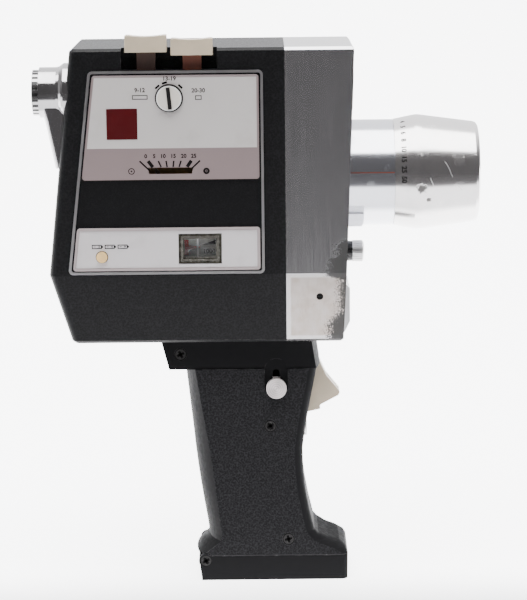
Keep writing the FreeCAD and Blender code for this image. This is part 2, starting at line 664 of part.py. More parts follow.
def meter_case():
    """Deep frame behind the panel, with two steps that hold the window and the scale."""
    low = NEEDLE_PIVOT_Z - 2.6
    shell = box(METER_X_REAR - METER_WALL, METER_X_FRONT + METER_WALL, PANEL_REAR_Y, METER_BACK_Y,
                low, METER_Z_TOP + METER_WALL)
    snout = meter_opening(-0.2, -BODY_HALF_WIDTH - METER_PLATE_THICKNESS, PANEL_REAR_Y + 1)
    chamber = box(METER_X_REAR + 1.0, METER_X_FRONT - 1.0, PANEL_REAR_Y + 2.4, METER_BACK_Y - 1.0,
                  low + 1.0, METER_Z_TOP - 0.6)
    mouth = meter_opening(-1.0, -BODY_HALF_WIDTH - 1, PANEL_REAR_Y + 0.9)
    throat = meter_opening(-2.0, -BODY_HALF_WIDTH - 1, PANEL_REAR_Y + 3)
    heel = box(METER_X_REAR - 5, METER_X_FRONT + 5, PANEL_REAR_Y - 1, PANEL_REAR_Y + 0.8,
               low - 1, PANEL_BOTTOM_Z + TRIM_OVERLAP + 0.3)
    return cut_all(fuse_all([shell, snout]), [chamber, mouth, throat, heel])


def meter_window():
    """Clear window on the case's first step."""
    y0 = PANEL_REAR_Y + 0.1
    return meter_opening(-1.0, y0, y0 + 0.8)


def meter_scale():
    """Scale plate that fills the case behind the needle."""
    return box(METER_X_REAR + 1.0, METER_X_FRONT - 1.0, SCALE_Y, SCALE_Y + 0.6,
               NEEDLE_PIVOT_Z + 3.0, METER_Z_TOP - 0.6)


def meter_needle():
    """Thin pointer on the hub of the moving coil."""
    hub = rod((NEEDLE_X, NEEDLE_Y - 0.5, NEEDLE_PIVOT_Z), Y_AXIS, 1.2, 4.2)
    arm = box(NEEDLE_X - 0.35, NEEDLE_X + 0.35, NEEDLE_Y, NEEDLE_Y + 0.3,
              NEEDLE_PIVOT_Z, METER_Z_TOP - 1.6)
    return fuse_all([hub, arm])


# Keys

def key_cap(centre_x, bottom_z):
    """Ivory key: a block with a dished top, seated on the end of its stem."""
    y0 = -BODY_HALF_WIDTH - KEY_PROUD
    y1 = -BODY_HALF_WIDTH + KEY_NOTCH_DEPTH - 0.5
    cap = box(centre_x - KEY_LENGTH / 2, centre_x + KEY_LENGTH / 2, y0, y1, bottom_z, bottom_z + KEY_HEIGHT)
    cap = cap.makeFillet(0.5, [edge for edge in cap.Edges if edge.CenterOfMass.z > bottom_z + 0.1])
    dish_radius = ((KEY_LENGTH / 2 - 1.2) ** 2 + KEY_DISH ** 2) / (2 * KEY_DISH)
    dish = rod((centre_x, y0 - 1, bottom_z + KEY_HEIGHT - KEY_DISH + dish_radius), Y_AXIS,
               dish_radius, y1 - y0 + 2)
    return cut_all(cap, [dish, key_stem(centre_x, bottom_z)])


def key_stem(centre_x, bottom_z):
    """Brown laminate strip that carries a key down to its switch."""
    tongue = 3.0
    drop = bottom_z - WIDE_KEY_BOTTOM_Z
    return box(centre_x - STEM_WIDTH / 2, centre_x + STEM_WIDTH / 2, STEM_Y, STEM_Y + STEM_THICKNESS,
               STEM_FOOT_Z + drop, bottom_z + tongue)


def key_switches():
    """Two switch blocks under the stems, each with a plunger."""
    blocks = []
    for centre, bottom, travel in ((WIDE_KEY_X, WIDE_KEY_BOTTOM_Z, KEY_TRAVEL_WIDE),
                                   (TELE_KEY_X, TELE_KEY_BOTTOM_Z, KEY_TRAVEL_TELE)):
        top = STEM_FOOT_Z + bottom - WIDE_KEY_BOTTOM_Z - travel - 0.3
        blocks.append(box(centre - 3.2, centre + 3.2, PANEL_REAR_Y, PANEL_REAR_Y + 3.2, top - 7, top))
    return Part.makeCompound(blocks)


# Finder and eyepiece

def finder_box(grow, x0, x1):
    """A square bar along the finder's axis."""
    half = FINDER_TUBE_SIDE / 2 + grow
    return box(x0, x1, FINDER_Y - half, FINDER_Y + half, FINDER_Z - half, FINDER_Z + half)


def finder_tube():
    """Square tube that runs the length of the body, with a window for the crank pin."""
    tube = finder_box(0, FINDER_REAR_X, FINDER_FRONT_X).cut(
        finder_box(-FINDER_TUBE_WALL, FINDER_REAR_X - 1, FINDER_FRONT_X + 1))
    slot = box(DIAL_X - 5.5, DIAL_X + 5.5, FINDER_Y - FINDER_TUBE_SIDE, FINDER_Y - FINDER_TUBE_SIDE / 4,
               DIAL_Z - 1.5, FINDER_Z + FINDER_TUBE_SIDE / 2 - FINDER_TUBE_WALL)
    return tube.cut(slot)


def finder_carriage():
    """Lens carriage in the finder tube, moved by the dial's crank pin in an upright slot."""
    half = FINDER_TUBE_SIDE / 2 - FINDER_TUBE_WALL - 0.1
    block = box(DIAL_X - 3.2, DIAL_X + 3.2, FINDER_Y - half, FINDER_Y + half,
                FINDER_Z - half, FINDER_Z + half)
    bore = rod((DIAL_X - 5, FINDER_Y + 1.4, FINDER_Z), X_AXIS, 4.2, 10)
    width = CRANK_PIN_RADIUS + SLIDING_GAP
    slot = box(DIAL_X - width, DIAL_X + width, FINDER_Y - half - 1, FINDER_Y - half + 2.3,
               DIAL_Z - 0.5, FINDER_Z + half + 1)
    return cut_all(block, [bore, slot])


def finder_window():
    """Front glass of the finder."""
    half = FINDER_WINDOW_SIDE / 2
    slab = box(FINDER_FRONT_X, front_x(FINDER_Z) - 0.6, FINDER_Y - half, FINDER_Y + half,
               FINDER_Z - half, FINDER_Z + half)
    return slab


def eyepiece_housing():
    """Polished eyepiece tube with a flange and a wedge fairing, seated on the slanted rear face."""
    length = 25
    tube = rod((EYEPIECE_REAR_X, FINDER_Y, FINDER_Z), X_AXIS, EYEPIECE_RADIUS, length)
    flare = [(-84.6, EYEPIECE_RADIUS), (-83.4, EYEPIECE_RADIUS + 0.35),
             (-82.5, EYEPIECE_FLANGE_RADIUS - 0.5), (-81.7, EYEPIECE_FLANGE_RADIUS),
             (-70.0, EYEPIECE_FLANGE_RADIUS)]
    flange = turned(flare, FINDER_Y, FINDER_Z)
    wedge = plate_xz([(EYEPIECE_REAR_X + 0.6, FINDER_Z - 4), (EYEPIECE_REAR_X + 0.6, WEDGE_KNEE_Z + 7),
                      (EYEPIECE_REAR_X + 2.5, WEDGE_KNEE_Z), (-85.5, WEDGE_TIP_Z),
                      (-70, WEDGE_TIP_Z), (-70, FINDER_Z - 4)],
                     FINDER_Y - WEDGE_HALF_WIDTH, FINDER_Y + WEDGE_HALF_WIDTH)
    slanted = [edge for edge in wedge.Edges
               if edge.CenterOfMass.x < -84 and abs(edge.tangentAt(edge.FirstParameter).y) < 0.5
               and edge.CenterOfMass.z < FINDER_Z - 4]
    wedge = wedge.makeFillet(2.4, slanted)
    body = fuse_all([tube, flange, wedge]).cut(envelope(0))
    body = body.common(box(-120, -60, -60, 10, 150, 230))
    return body.cut(rod((-110, FINDER_Y, FINDER_Z), X_AXIS, EYEPIECE_BORE, 40))


def knurled_disc(x0, x1, radius, teeth, depth, y, z):
    """A disc along X whose rim is cut into square teeth."""
    disc = rod((x0, y, z), X_AXIS, radius, x1 - x0)
    width = math.pi * radius / teeth
    cuts = []
    for index in range(teeth):
        groove = box(x0 - 1, x1 + 1, y - width / 2, y + width / 2, z + radius - depth, z + radius + 1)
        cuts.append(turn_about(groove, Vector(x0, y, z), X_AXIS, 360.0 * index / teeth))
    return cut_all(disc, cuts)


def eyepiece_ring():
    """Knurled ring with a sleeve that turns inside the eyepiece tube."""
    x0 = EYEPIECE_REAR_X - 0.15 - EYE_RING_WIDTH
    rim = knurled_disc(x0, x0 + EYE_RING_WIDTH, EYE_RING_RADIUS, EYE_RING_TEETH, 0.8, FINDER_Y, FINDER_Z)
    sleeve = rod((x0 + 1, FINDER_Y, FINDER_Z), X_AXIS, EYE_SLEEVE_RADIUS, 8.0)
    ring = fuse_all([rim, sleeve])
    peep = rod((x0 - 1, FINDER_Y, FINDER_Z), X_AXIS, EYE_LENS_RADIUS - 1.2, 12)
    seat = rod((x0 + 1.4, FINDER_Y, FINDER_Z), X_AXIS, EYE_LENS_RADIUS, 12)
    return cut_all(ring, [peep, seat])


def eyepiece_lens():
    """Round glass seated in the ring."""
    x0 = EYEPIECE_REAR_X - 0.15 - EYE_RING_WIDTH + 1.4
    lens = rod((x0, FINDER_Y, FINDER_Z), X_AXIS, EYE_LENS_RADIUS, 2.6)
    dome = Part.makeSphere(14.0, Vector(x0 + 14.0 - 0.0, FINDER_Y, FINDER_Z))
    return lens.common(dome)


# Lens


def lens_barrel():
    """Fixed barrel: a spigot through the front housing, a chamber for the zoom ring and a long sleeve."""
    collar = turned([(BARREL_REAR_X, BARREL_RADIUS), (BARREL_FRONT_X, BARREL_RADIUS)], 0, LENS_Z)
    collar = collar.cut(envelope(0))
    spigot = turned([(SPIGOT_REAR_X, SPIGOT_RADIUS), (BARREL_FRONT_X - 2, SPIGOT_RADIUS)], 0, LENS_Z)
    sleeve = turned([(BARREL_FRONT_X - 2, SLEEVE_RADIUS), (SLEEVE_FRONT_X, SLEEVE_RADIUS)], 0, LENS_Z)
    body = fuse_all([collar, spigot, sleeve])
    bore = turned([(SPIGOT_REAR_X - 1, REAR_GROUP_BORE), (ZOOM_CHAMBER_X, REAR_GROUP_BORE),
                   (ZOOM_CHAMBER_X, ZOOM_BORE), (ZOOM_CHAMBER_FRONT_X, ZOOM_BORE),
                   (ZOOM_CHAMBER_FRONT_X, SLEEVE_BORE), (SLEEVE_FRONT_X + 1, SLEEVE_BORE)], 0, LENS_Z)
    gear_room = turned([(ZOOM_GEAR_X - 0.3, ZOOM_BORE + 1.1),
                        (ZOOM_GEAR_X + ZOOM_GEAR_WIDTH + 0.3, ZOOM_BORE + 1.1)], 0, LENS_Z)
    pinion_z = LENS_Z - ZOOM_PINION_OFFSET
    pinion_room = rod((ZOOM_GEAR_X - 0.3, 0, pinion_z), X_AXIS, 3.2, ZOOM_GEAR_WIDTH + 0.6)
    shaft_room = rod((BARREL_REAR_X, 0, pinion_z), X_AXIS, ZOOM_SHAFT_RADIUS + RUNNING_FIT, 12)
    index_groove = box(BARREL_REAR_X, BARREL_FRONT_X + 1, -BARREL_RADIUS - 1, -BARREL_RADIUS + 0.12,
                       LENS_Z + 1.7, LENS_Z + 2.2)
    return cut_all(body, [bore, gear_room, pinion_room, shaft_room, index_groove])


def zoom_drive_cover():
    """Curved cover under the barrel, over the zoom pinion."""
    outer = rod((BARREL_REAR_X, 0, LENS_Z), X_AXIS, BARREL_RADIUS + 0.7, 38.6 - BARREL_REAR_X)
    ring = outer.cut(rod((BARREL_REAR_X - 1, 0, LENS_Z), X_AXIS, BARREL_RADIUS, 30))
    reach = 40.0
    side = reach * math.tan(math.radians(48.0))
    wedge = Part.Face(Part.makePolygon([Vector(BARREL_REAR_X - 1, 0, LENS_Z),
                                        Vector(BARREL_REAR_X - 1, -side, LENS_Z - reach),
                                        Vector(BARREL_REAR_X - 1, side, LENS_Z - reach),
                                        Vector(BARREL_REAR_X - 1, 0, LENS_Z)])).extrude(Vector(30, 0, 0))
    return ring.common(wedge).cut(envelope(0))


def involute_gear(x0, width, module, teeth, phase_deg, y, z, bore=0.0, backlash=0.12):
    """A spur gear along X whose tooth centre stands at phase_deg, measured from +Y towards +Z."""
    pitch_radius = module * teeth / 2
    base = pitch_radius * math.cos(math.radians(20))
    tip = pitch_radius + 0.8 * module
    root = pitch_radius - 1.15 * module
    roll = math.tan(math.radians(20)) - math.radians(20)
    half_at_pitch = math.pi / teeth / 2 - backlash / 2 / pitch_radius
    points = []
    steps = 4
    for tooth in range(teeth):
        centre = math.radians(phase_deg) + 2 * math.pi * tooth / teeth
        flank = []
        for step in range(steps + 1):
            radius = lerp(max(base, root), tip, step / steps)
            angle = math.acos(min(1.0, base / radius))
            half = half_at_pitch + roll - (math.tan(angle) - angle)
            flank.append((radius, half))
        foot = flank[0][1] + 0.02
        outline = [(root, -foot)] + [(r, -a) for r, a in flank] + [(r, a) for r, a in reversed(flank)]
        outline.append((root, foot))
        for radius, offset in outline:
            points.append(Vector(x0, y + radius * math.cos(centre + offset),
                                 z + radius * math.sin(centre + offset)))
    face = Part.Face(Part.makePolygon(points + points[:1]))
    gear = face.extrude(Vector(width, 0, 0))
    return gear.cut(rod((x0 - 1, y, z), X_AXIS, bore, width + 2)) if bore else gear


def mesh_phase(phase_a, teeth_a, direction_deg, teeth_b):
    """The phase in degrees of gear B, so that it meshes with gear A seen along direction_deg."""
    pitch_a = 360.0 / teeth_a
    pitch_b = 360.0 / teeth_b
    share = ((direction_deg - phase_a) / pitch_a) % 1.0
    return direction_deg + 180.0 - (0.5 - share) * pitch_b


def zoom_ring():
    """Cam tube of the zoom with a toothed band, free to turn in the barrel."""
    outer = ZOOM_BORE - RUNNING_FIT
    tube = pipe((ZOOM_CHAMBER_X + 0.2, 0, LENS_Z), X_AXIS, outer, ZOOM_RING_BORE,
                ZOOM_RING_FRONT_X - ZOOM_CHAMBER_X - 0.2)
    band = involute_gear(ZOOM_GEAR_X, ZOOM_GEAR_WIDTH, ZOOM_MODULE, ZOOM_RING_TEETH, 0.0, 0, LENS_Z,
                         bore=ZOOM_RING_BORE)
    return fuse_all([tube, band])


def zoom_pinion():
    """Pinion and shaft that run from the zoom motor into the barrel."""
    phase = mesh_phase(0.0, ZOOM_RING_TEETH, -90.0, ZOOM_PINION_TEETH)
    z = LENS_Z - ZOOM_PINION_OFFSET
    gear = involute_gear(ZOOM_GEAR_X, ZOOM_GEAR_WIDTH, ZOOM_MODULE, ZOOM_PINION_TEETH, phase, 0, z)
    shaft = rod((ZOOM_MOTOR_FRONT_X - 3, 0, z), X_AXIS, ZOOM_SHAFT_RADIUS,
                ZOOM_GEAR_X + 1 - ZOOM_MOTOR_FRONT_X + 3)
    return fuse_all([gear, shaft])


def zoom_motor():
    """Small motor under the lens spigot, held by a saddle that stands on the spigot's underside."""
    z = LENS_Z - ZOOM_PINION_OFFSET
    can = rod((ZOOM_MOTOR_REAR_X, 0, z), X_AXIS, ZOOM_MOTOR_RADIUS, ZOOM_MOTOR_FRONT_X - ZOOM_MOTOR_REAR_X)
    saddle = box(17, 25, -3, 3, z + 3, LENS_Z - SPIGOT_RADIUS + 1.5)
    saddle = saddle.cut(rod((10, 0, LENS_Z), X_AXIS, SPIGOT_RADIUS, 30))
    shaft_hole = rod((ZOOM_MOTOR_FRONT_X - 3.2, 0, z), X_AXIS, ZOOM_SHAFT_RADIUS + RUNNING_FIT, 10)
    return fuse_all([can, saddle]).cut(shaft_hole)


def zoom_lens_group():
    """Sliding lens cell inside the zoom ring, with its glass left as a solid web."""
    outer = ZOOM_RING_BORE - RUNNING_FIT
    cell = turned([(50.4, outer), (58.4, outer)], 0, LENS_Z)
    rear_dish = Part.makeSphere(18.0, Vector(50.4 - 14.8, 0, LENS_Z))
    front_dish = Part.makeSphere(18.0, Vector(58.4 + 15.2, 0, LENS_Z))
    return cut_all(cell, [rear_dish, front_dish])


def rear_lens_group():
    """Fixed rear lens cell in the spigot."""
    cell = turned([(SPIGOT_REAR_X + 0.4, REAR_GROUP_BORE), (26.0, REAR_GROUP_BORE)], 0, LENS_Z)
    dish = Part.makeSphere(16.0, Vector(SPIGOT_REAR_X + 0.4 - 14.0, 0, LENS_Z))
    front = Part.makeSphere(16.0, Vector(26.0 + 14.6, 0, LENS_Z))
    return cut_all(cell, [dish, front])


def iris_unit():
    """Iris housing with six blades around a small opening."""
    ring = turned([(28.0, REAR_GROUP_BORE), (31.0, REAR_GROUP_BORE)], 0, LENS_Z)
    hexagon = []
    for index in range(6):
        angle = math.radians(60 * index + 15)
        hexagon.append(Vector(27.0, 3.2 * math.cos(angle), LENS_Z + 3.2 * math.sin(angle)))
    hole = Part.Face(Part.makePolygon(hexagon + hexagon[:1])).extrude(Vector(5, 0, 0))
    recess = rod((29.2, 0, LENS_Z), X_AXIS, REAR_GROUP_BORE - 1.2, 3)
    return cut_all(ring, [hole, recess])


def focus_ring():
    """Focus ring and hood in one: it turns on the sleeve and flares out and in again."""
    outer = [(BARREL_FRONT_X + SEAM_GAP, FOCUS_REAR_RADIUS), (FOCUS_WIDE_X - 1.5, FOCUS_WIDE_RADIUS - 0.2),
             (FOCUS_WIDE_X, FOCUS_WIDE_RADIUS), (FOCUS_WIDE_X + 1.5, FOCUS_WIDE_RADIUS - 0.12),
             (FOCUS_RIM_X - 1.6, FOCUS_RIM_RADIUS), (FOCUS_RIM_X - 0.5, FOCUS_RIM_RADIUS - 0.5),
             (FOCUS_RIM_X, FOCUS_RIM_RADIUS - 1.2)]
    thread_start = FOCUS_RIM_X - FILTER_THREAD_LENGTH - 1.2
    bore = SLEEVE_RADIUS + RUNNING_FIT
    inner = [(BARREL_FRONT_X, bore), (FOCUS_SLEEVE_END_X, bore),
             (FOCUS_SLEEVE_END_X, SLEEVE_BORE + 1.0), (CELL_FRONT_X + 0.4, SLEEVE_BORE + 1.0),
             (thread_start, FILTER_THREAD_RADIUS), (FOCUS_RIM_X + 1, FILTER_THREAD_RADIUS)]
    return turned(outer, 0, LENS_Z).cut(turned(inner, 0, LENS_Z))


def front_cell():
    """Sliding front lens cell, moved in and out by the focus ring."""
    outer = SLEEVE_BORE - RUNNING_FIT
    cell = turned([(CELL_REAR_X, outer), (CELL_FRONT_X, outer)], 0, LENS_Z)
    bores = turned([(CELL_REAR_X - 1, CELL_BORE - 1.2), (FRONT_GLASS_X, CELL_BORE - 1.2),
                    (FRONT_GLASS_X, CELL_BORE), (CELL_FRONT_X + 1, CELL_BORE)], 0, LENS_Z)
    return cell.cut(bores)


def front_element():
    """Domed front glass."""
    blank = rod((FRONT_GLASS_X, 0, LENS_Z), X_AXIS, CELL_BORE, 4.2)
    dome = Part.makeSphere(42.0, Vector(FRONT_GLASS_X + 4.2 - 42.0, 0, LENS_Z))
    return blank.common(dome)


def retaining_ring():
    """Black ring with two key slots that holds the front glass."""
    x0 = FRONT_GLASS_X + 4.2
    ring = pipe((x0 - 0.2, 0, LENS_Z), X_AXIS, CELL_BORE, CELL_BORE - 1.6, CELL_FRONT_X - x0 + 0.2)
    ring = ring.cut(front_element())
    slots = [box(CELL_FRONT_X - 0.4, CELL_FRONT_X + 1, side - 1.2, side + 1.2, LENS_Z - 0.6, LENS_Z + 0.6)
             for side in (-CELL_BORE, CELL_BORE)]
    return cut_all(ring, slots)


# Front fittings

def knob_collar():
    """Black collar behind the front knob."""
    collar = pipe((28, 0, KNOB_Z), X_AXIS, KNOB_RADIUS - 0.2, KNOB_SHAFT_RADIUS + RUNNING_FIT,
                  KNOB_COLLAR_FRONT_X - 28)
    return collar.cut(envelope(0))


def front_knob():
    """Knurled knob with a domed end, its shaft and the inner stop disc."""
    x0 = KNOB_COLLAR_FRONT_X + 0.1
    cap = knurled_disc(x0, x0 + KNOB_LENGTH - 0.7, KNOB_RADIUS, 28, 0.25, 0, KNOB_Z)
    dome = turned([(x0 + KNOB_LENGTH - 0.8, KNOB_RADIUS - 0.2), (x0 + KNOB_LENGTH - 0.4, KNOB_RADIUS - 0.5),
                   (x0 + KNOB_LENGTH, KNOB_RADIUS - 1.5)], 0, KNOB_Z)
    shaft = rod((22.0, 0, KNOB_Z), X_AXIS, KNOB_SHAFT_RADIUS, x0 + 1 - 22.0)
    stop = rod((24.0, 0, KNOB_Z), X_AXIS, 3.6, 1.6)
    return fuse_all([cap, dome, shaft, stop])


def photocell_bezel():
    """Raised frame low on the front, with slanted ends and an opening for the cell's window."""
    low, high, half = PHOTOCELL_Z_BOTTOM, PHOTOCELL_Z_TOP, PHOTOCELL_HALF_WIDTH
    profile = [(26, low), (front_x(low) + 0.6, low), (PHOTOCELL_FRONT_X, low + 5.0),
               (PHOTOCELL_FRONT_X, high - 1.6), (front_x(high) + 0.4, high), (26, high)]
    frame = round_upright(plate_xz(profile, -half, half), 1.5, X_AXIS)
    window = box(20, 50, -PHOTOCELL_OPENING_HALF, PHOTOCELL_OPENING_HALF, low + 6.0, high - 4.0)
    return frame.cut(envelope(0)).cut(window)


def photocell_window():
    """Clear ribbed window in the opening of the front housing."""
    low, high = PHOTOCELL_Z_BOTTOM + 6.0, PHOTOCELL_Z_TOP - 4.0
    half = PHOTOCELL_OPENING_HALF
    slab = box(29.6, 31.8, -half, half, low, high)
    ribs = []
    count = 9
    pitch = 2 * half / count
    for index in range(1, count):
        y = -half + pitch * index
        ribs.append(box(31.4, 33, y - 0.25, y + 0.25, low - 1, high + 1))
    return cut_all(slab, ribs)


def photocell():
    """Light-sensitive cell behind the window, resting against the housing's inner face."""
    low, high = PHOTOCELL_Z_BOTTOM + 4.5, PHOTOCELL_Z_TOP - 2.5
    half = PHOTOCELL_OPENING_HALF + 1.5
    slab = box(23.0, 29.6, -half, half, low, high)
    return slab.common(envelope(HOUSING_WALL))


def set_screw():
    """Slotted set screw sunk in the side hole of the front housing."""
    y0 = -BODY_HALF_WIDTH + 1.6
    screw = rod((SIDE_HOLE_X, y0, SIDE_HOLE_Z), Y_AXIS, SIDE_HOLE_RADIUS, 4.0)
    slot = box(SIDE_HOLE_X - 2, SIDE_HOLE_X + 2, y0 - 1, y0 + 0.5, SIDE_HOLE_Z - 0.2, SIDE_HOLE_Z + 0.2)
    return screw.cut(slot)


# Film door

def film_door():
    """Door that closes the far side: an outer skin and a thicker inner pad."""
    skin = envelope(0, bevelled=True).cut(envelope(DOOR_SKIN)).common(door_prism(0))
    pad = envelope(DOOR_SKIN).cut(envelope(BODY_WALL + 1.2)).common(door_prism(DOOR_LEDGE + DOOR_GAP))
    door = fuse_all([skin, pad])
    return door.cut(rod((LATCH_X, BODY_HALF_WIDTH - 18, LATCH_Z), Y_AXIS,
                        LATCH_SHAFT_RADIUS + RUNNING_FIT, 40))


def door_latch():
    """Round latch with a finger bar; its tongue is drawn unlocked, pointing up."""
    y0 = BODY_HALF_WIDTH + 0.15
    disc = rod((LATCH_X, y0, LATCH_Z), Y_AXIS, LATCH_RADIUS, 1.2)
    bar = box(LATCH_X - LATCH_RADIUS + 0.6, LATCH_X + LATCH_RADIUS - 0.6, y0 + 0.8, y0 + 3.0,
              LATCH_Z - 1.1, LATCH_Z + 1.1)
    bar = round_upright(bar, 0.8)
    inner_y = BODY_HALF_WIDTH - BODY_WALL - 1.2 - 0.2
    shaft = rod((LATCH_X, inner_y - 1.4, LATCH_Z), Y_AXIS, LATCH_SHAFT_RADIUS, y0 + 1 - inner_y + 1.4)
    tongue = box(LATCH_X - 2.5, LATCH_X + 2.5, inner_y - 1.4, inner_y, LATCH_Z, LATCH_Z + 13.8)
    return fuse_all([disc, bar, shaft, tongue])


def hinge_parts(first, side):
    """Knuckles and leaf of one half of the door hinge; side is +1 for the body and -1 for the door."""
    parts = []
    for index in range(first, HINGE_KNUCKLES, 2):
        z0 = HINGE_BOTTOM_Z + index * HINGE_KNUCKLE_LENGTH + 0.1
        length = HINGE_KNUCKLE_LENGTH - 0.2
        knuckle = pipe((HINGE_X, HINGE_Y, z0), Z_AXIS, HINGE_KNUCKLE_RADIUS,
                       HINGE_PIN_RADIUS + RUNNING_FIT, length)
        strap_end = HINGE_X + side * (HINGE_KNUCKLE_RADIUS + 0.6)
        strap = box(min(HINGE_X, strap_end), max(HINGE_X, strap_end), BODY_HALF_WIDTH,
                    BODY_HALF_WIDTH + 0.6, z0, z0 + length)
        strap = strap.cut(rod((HINGE_X, HINGE_Y, z0 - 1), Z_AXIS, HINGE_PIN_RADIUS + 0.3, length + 2))
        parts += [knuckle, strap]
    total = HINGE_KNUCKLES * HINGE_KNUCKLE_LENGTH
    near = HINGE_X + side * (HINGE_KNUCKLE_RADIUS + 0.3)
    far = HINGE_X + side * 5.0
    if side > 0:
        far = HOUSING_SEAM_X - 0.3
    leaf = box(min(near, far), max(near, far), BODY_HALF_WIDTH, BODY_HALF_WIDTH + 0.6,
               HINGE_BOTTOM_Z, HINGE_BOTTOM_Z + total)
    return fuse_all([leaf] + parts)


def body_hinge_leaf():
    """Hinge leaf fixed to the body shell."""
    return hinge_parts(0, 1)


def door_hinge_leaf():
    """Hinge leaf fixed to the film door."""
    return hinge_parts(1, -1)


def door_hinge_pin():
    """Long pin of the door hinge."""
    total = HINGE_KNUCKLES * HINGE_KNUCKLE_LENGTH
    return rod((HINGE_X, HINGE_Y, HINGE_BOTTOM_Z - 0.8), Z_AXIS, HINGE_PIN_RADIUS, total + 1.6)


# Film transport and drive


def motor_direction():
    """Angles in degrees from the motor to the idler and from the idler to the shutter."""
    reach_a = GEAR_MODULE * (PINION_TEETH + IDLER_TEETH) / 2
    reach_b = GEAR_MODULE * (IDLER_TEETH + SHUTTER_TEETH) / 2
    dy, dz = SHUTTER_Y - MOTOR_Y, SHUTTER_Z - MOTOR_Z
    span = math.hypot(dy, dz)
    bend = math.acos(min(1.0, (reach_a ** 2 + span ** 2 - reach_b ** 2) / (2 * reach_a * span)))
    first = math.atan2(dz, dy) - bend
    idler_y = MOTOR_Y + reach_a * math.cos(first)
    idler_z = MOTOR_Z + reach_a * math.sin(first)
    second = math.atan2(SHUTTER_Z - idler_z, SHUTTER_Y - idler_y)
    return math.degrees(first), math.degrees(second), idler_y, idler_z


TO_IDLER, TO_SHUTTER, IDLER_Y, IDLER_Z = motor_direction()
IDLER_PHASE = mesh_phase(0.0, PINION_TEETH, TO_IDLER, IDLER_TEETH)
SHUTTER_PHASE = mesh_phase(IDLER_PHASE, IDLER_TEETH, TO_SHUTTER, SHUTTER_TEETH)


def front_plate():
    """Upright plate behind the front housing; it carries the gate, the gears and the finder tube."""
    plate = envelope(BODY_WALL + SEAM_GAP).common(far_rear(PLATE_REAR_X, PLATE_FRONT_X))
    fit = SHAFT_RADIUS + RUNNING_FIT
    x0 = PLATE_REAR_X - 1
    holes = [rod((x0, MOTOR_Y, MOTOR_Z), X_AXIS, fit, 4), rod((x0, IDLER_Y, IDLER_Z), X_AXIS, fit, 4),
             rod((x0, SHUTTER_Y, SHUTTER_Z), X_AXIS, fit, 4), finder_box(0, x0, x0 + 4),
             box(x0, x0 + 4, -2.6, 2.6, LENS_Z - 2.1, LENS_Z + 2.1),
             box(x0, x0 + 4, CLAW_Y - 0.8, CLAW_Y + 0.8, CLAW_TIP_Z - 4.6, CLAW_TIP_Z + 0.8),
             box(x0, x0 + 4, STEM_Y - 3, STEM_Y + 3, BODY_TOP_Z - 14, BODY_TOP_Z)]
    for y, z in FRONT_PLATE_SCREWS:
        holes.append(rod((x0, y, z), X_AXIS, BOLT_RADIUS, 4))
    return cut_all(plate, holes)


def mechanism_plate():
    """Lengthwise plate between the film chamber and the drive."""
    inset = BODY_WALL + 0.5
    low, high = BODY_BOTTOM_Z + inset, BODY_TOP_Z - inset
    outline = [(body_section(low)[0] + inset, low), (PLATE_REAR_X, low), (PLATE_REAR_X, high),
               (body_section(high)[0] + inset, high), (REAR_X_CREASE + inset, CREASE_Z)]
    plate = plate_xz(outline, MECH_Y0, MECH_Y1)
    spindle_fit = SHAFT_RADIUS + RUNNING_FIT
    holes = [rod((SPINDLE_X, MECH_Y0 - 1, FEED_Z), Y_AXIS, spindle_fit, 4),
             rod((SPINDLE_X, MECH_Y0 - 1, TAKEUP_Z), Y_AXIS, spindle_fit, 4)]
    for x, z in PILLARS:
        holes.append(rod((x, MECH_Y0 - 1, z), Y_AXIS, 1.2, 4))
    holes.append(box(PLATE_REAR_X - MOTOR_LENGTH - 2.5, PLATE_REAR_X + 1, MECH_Y0 - 1, MECH_Y1 + 1,
                     MOTOR_Z - MOTOR_RADIUS - SLIDING_GAP, MOTOR_Z + MOTOR_RADIUS + SLIDING_GAP))
    return cut_all(plate, holes)


def frame_pillars():
    """Four pillars between the mechanism plate and the side panel, each with a riveted end."""
    pillars = []
    for x, z in PILLARS:
        post = rod((x, PANEL_REAR_Y, z), Y_AXIS, 2.5, MECH_Y0 - PANEL_REAR_Y)
        tip = rod((x, MECH_Y0 - 0.5, z), Y_AXIS, 1.2, MECH_PLATE_THICKNESS + 0.5)
        pillars.append(fuse_all([post, tip]))
    return Part.makeCompound(pillars)


def front_plate_screws():
    """Four screws that hold the front plate to the housing."""
    screws = []
    for y, z in FRONT_PLATE_SCREWS:
        head = rod((PLATE_REAR_X - 1.4, y, z), X_AXIS, 2.6, 1.4)
        shank = rod((PLATE_REAR_X - 0.5, y, z), X_AXIS, BOLT_RADIUS, 7.0)
        slot = box(PLATE_REAR_X - 2, PLATE_REAR_X - 0.8, y - 3, y + 3, z - 0.3, z + 0.3)
        screws.append(fuse_all([head, shank]).cut(slot))
    return Part.makeCompound(screws)


def drive_motor():
    """Motor can with a rear bearing boss."""
    can = rod((PLATE_REAR_X - MOTOR_LENGTH, MOTOR_Y, MOTOR_Z), X_AXIS, MOTOR_RADIUS, MOTOR_LENGTH)
    boss = rod((PLATE_REAR_X - MOTOR_LENGTH - 2, MOTOR_Y, MOTOR_Z), X_AXIS, 3.4, 3)
    shaft_hole = rod((PLATE_REAR_X - MOTOR_LENGTH - 3, MOTOR_Y, MOTOR_Z), X_AXIS,
                     SHAFT_RADIUS + RUNNING_FIT, MOTOR_LENGTH + 4)
    return fuse_all([can, boss]).cut(shaft_hole)


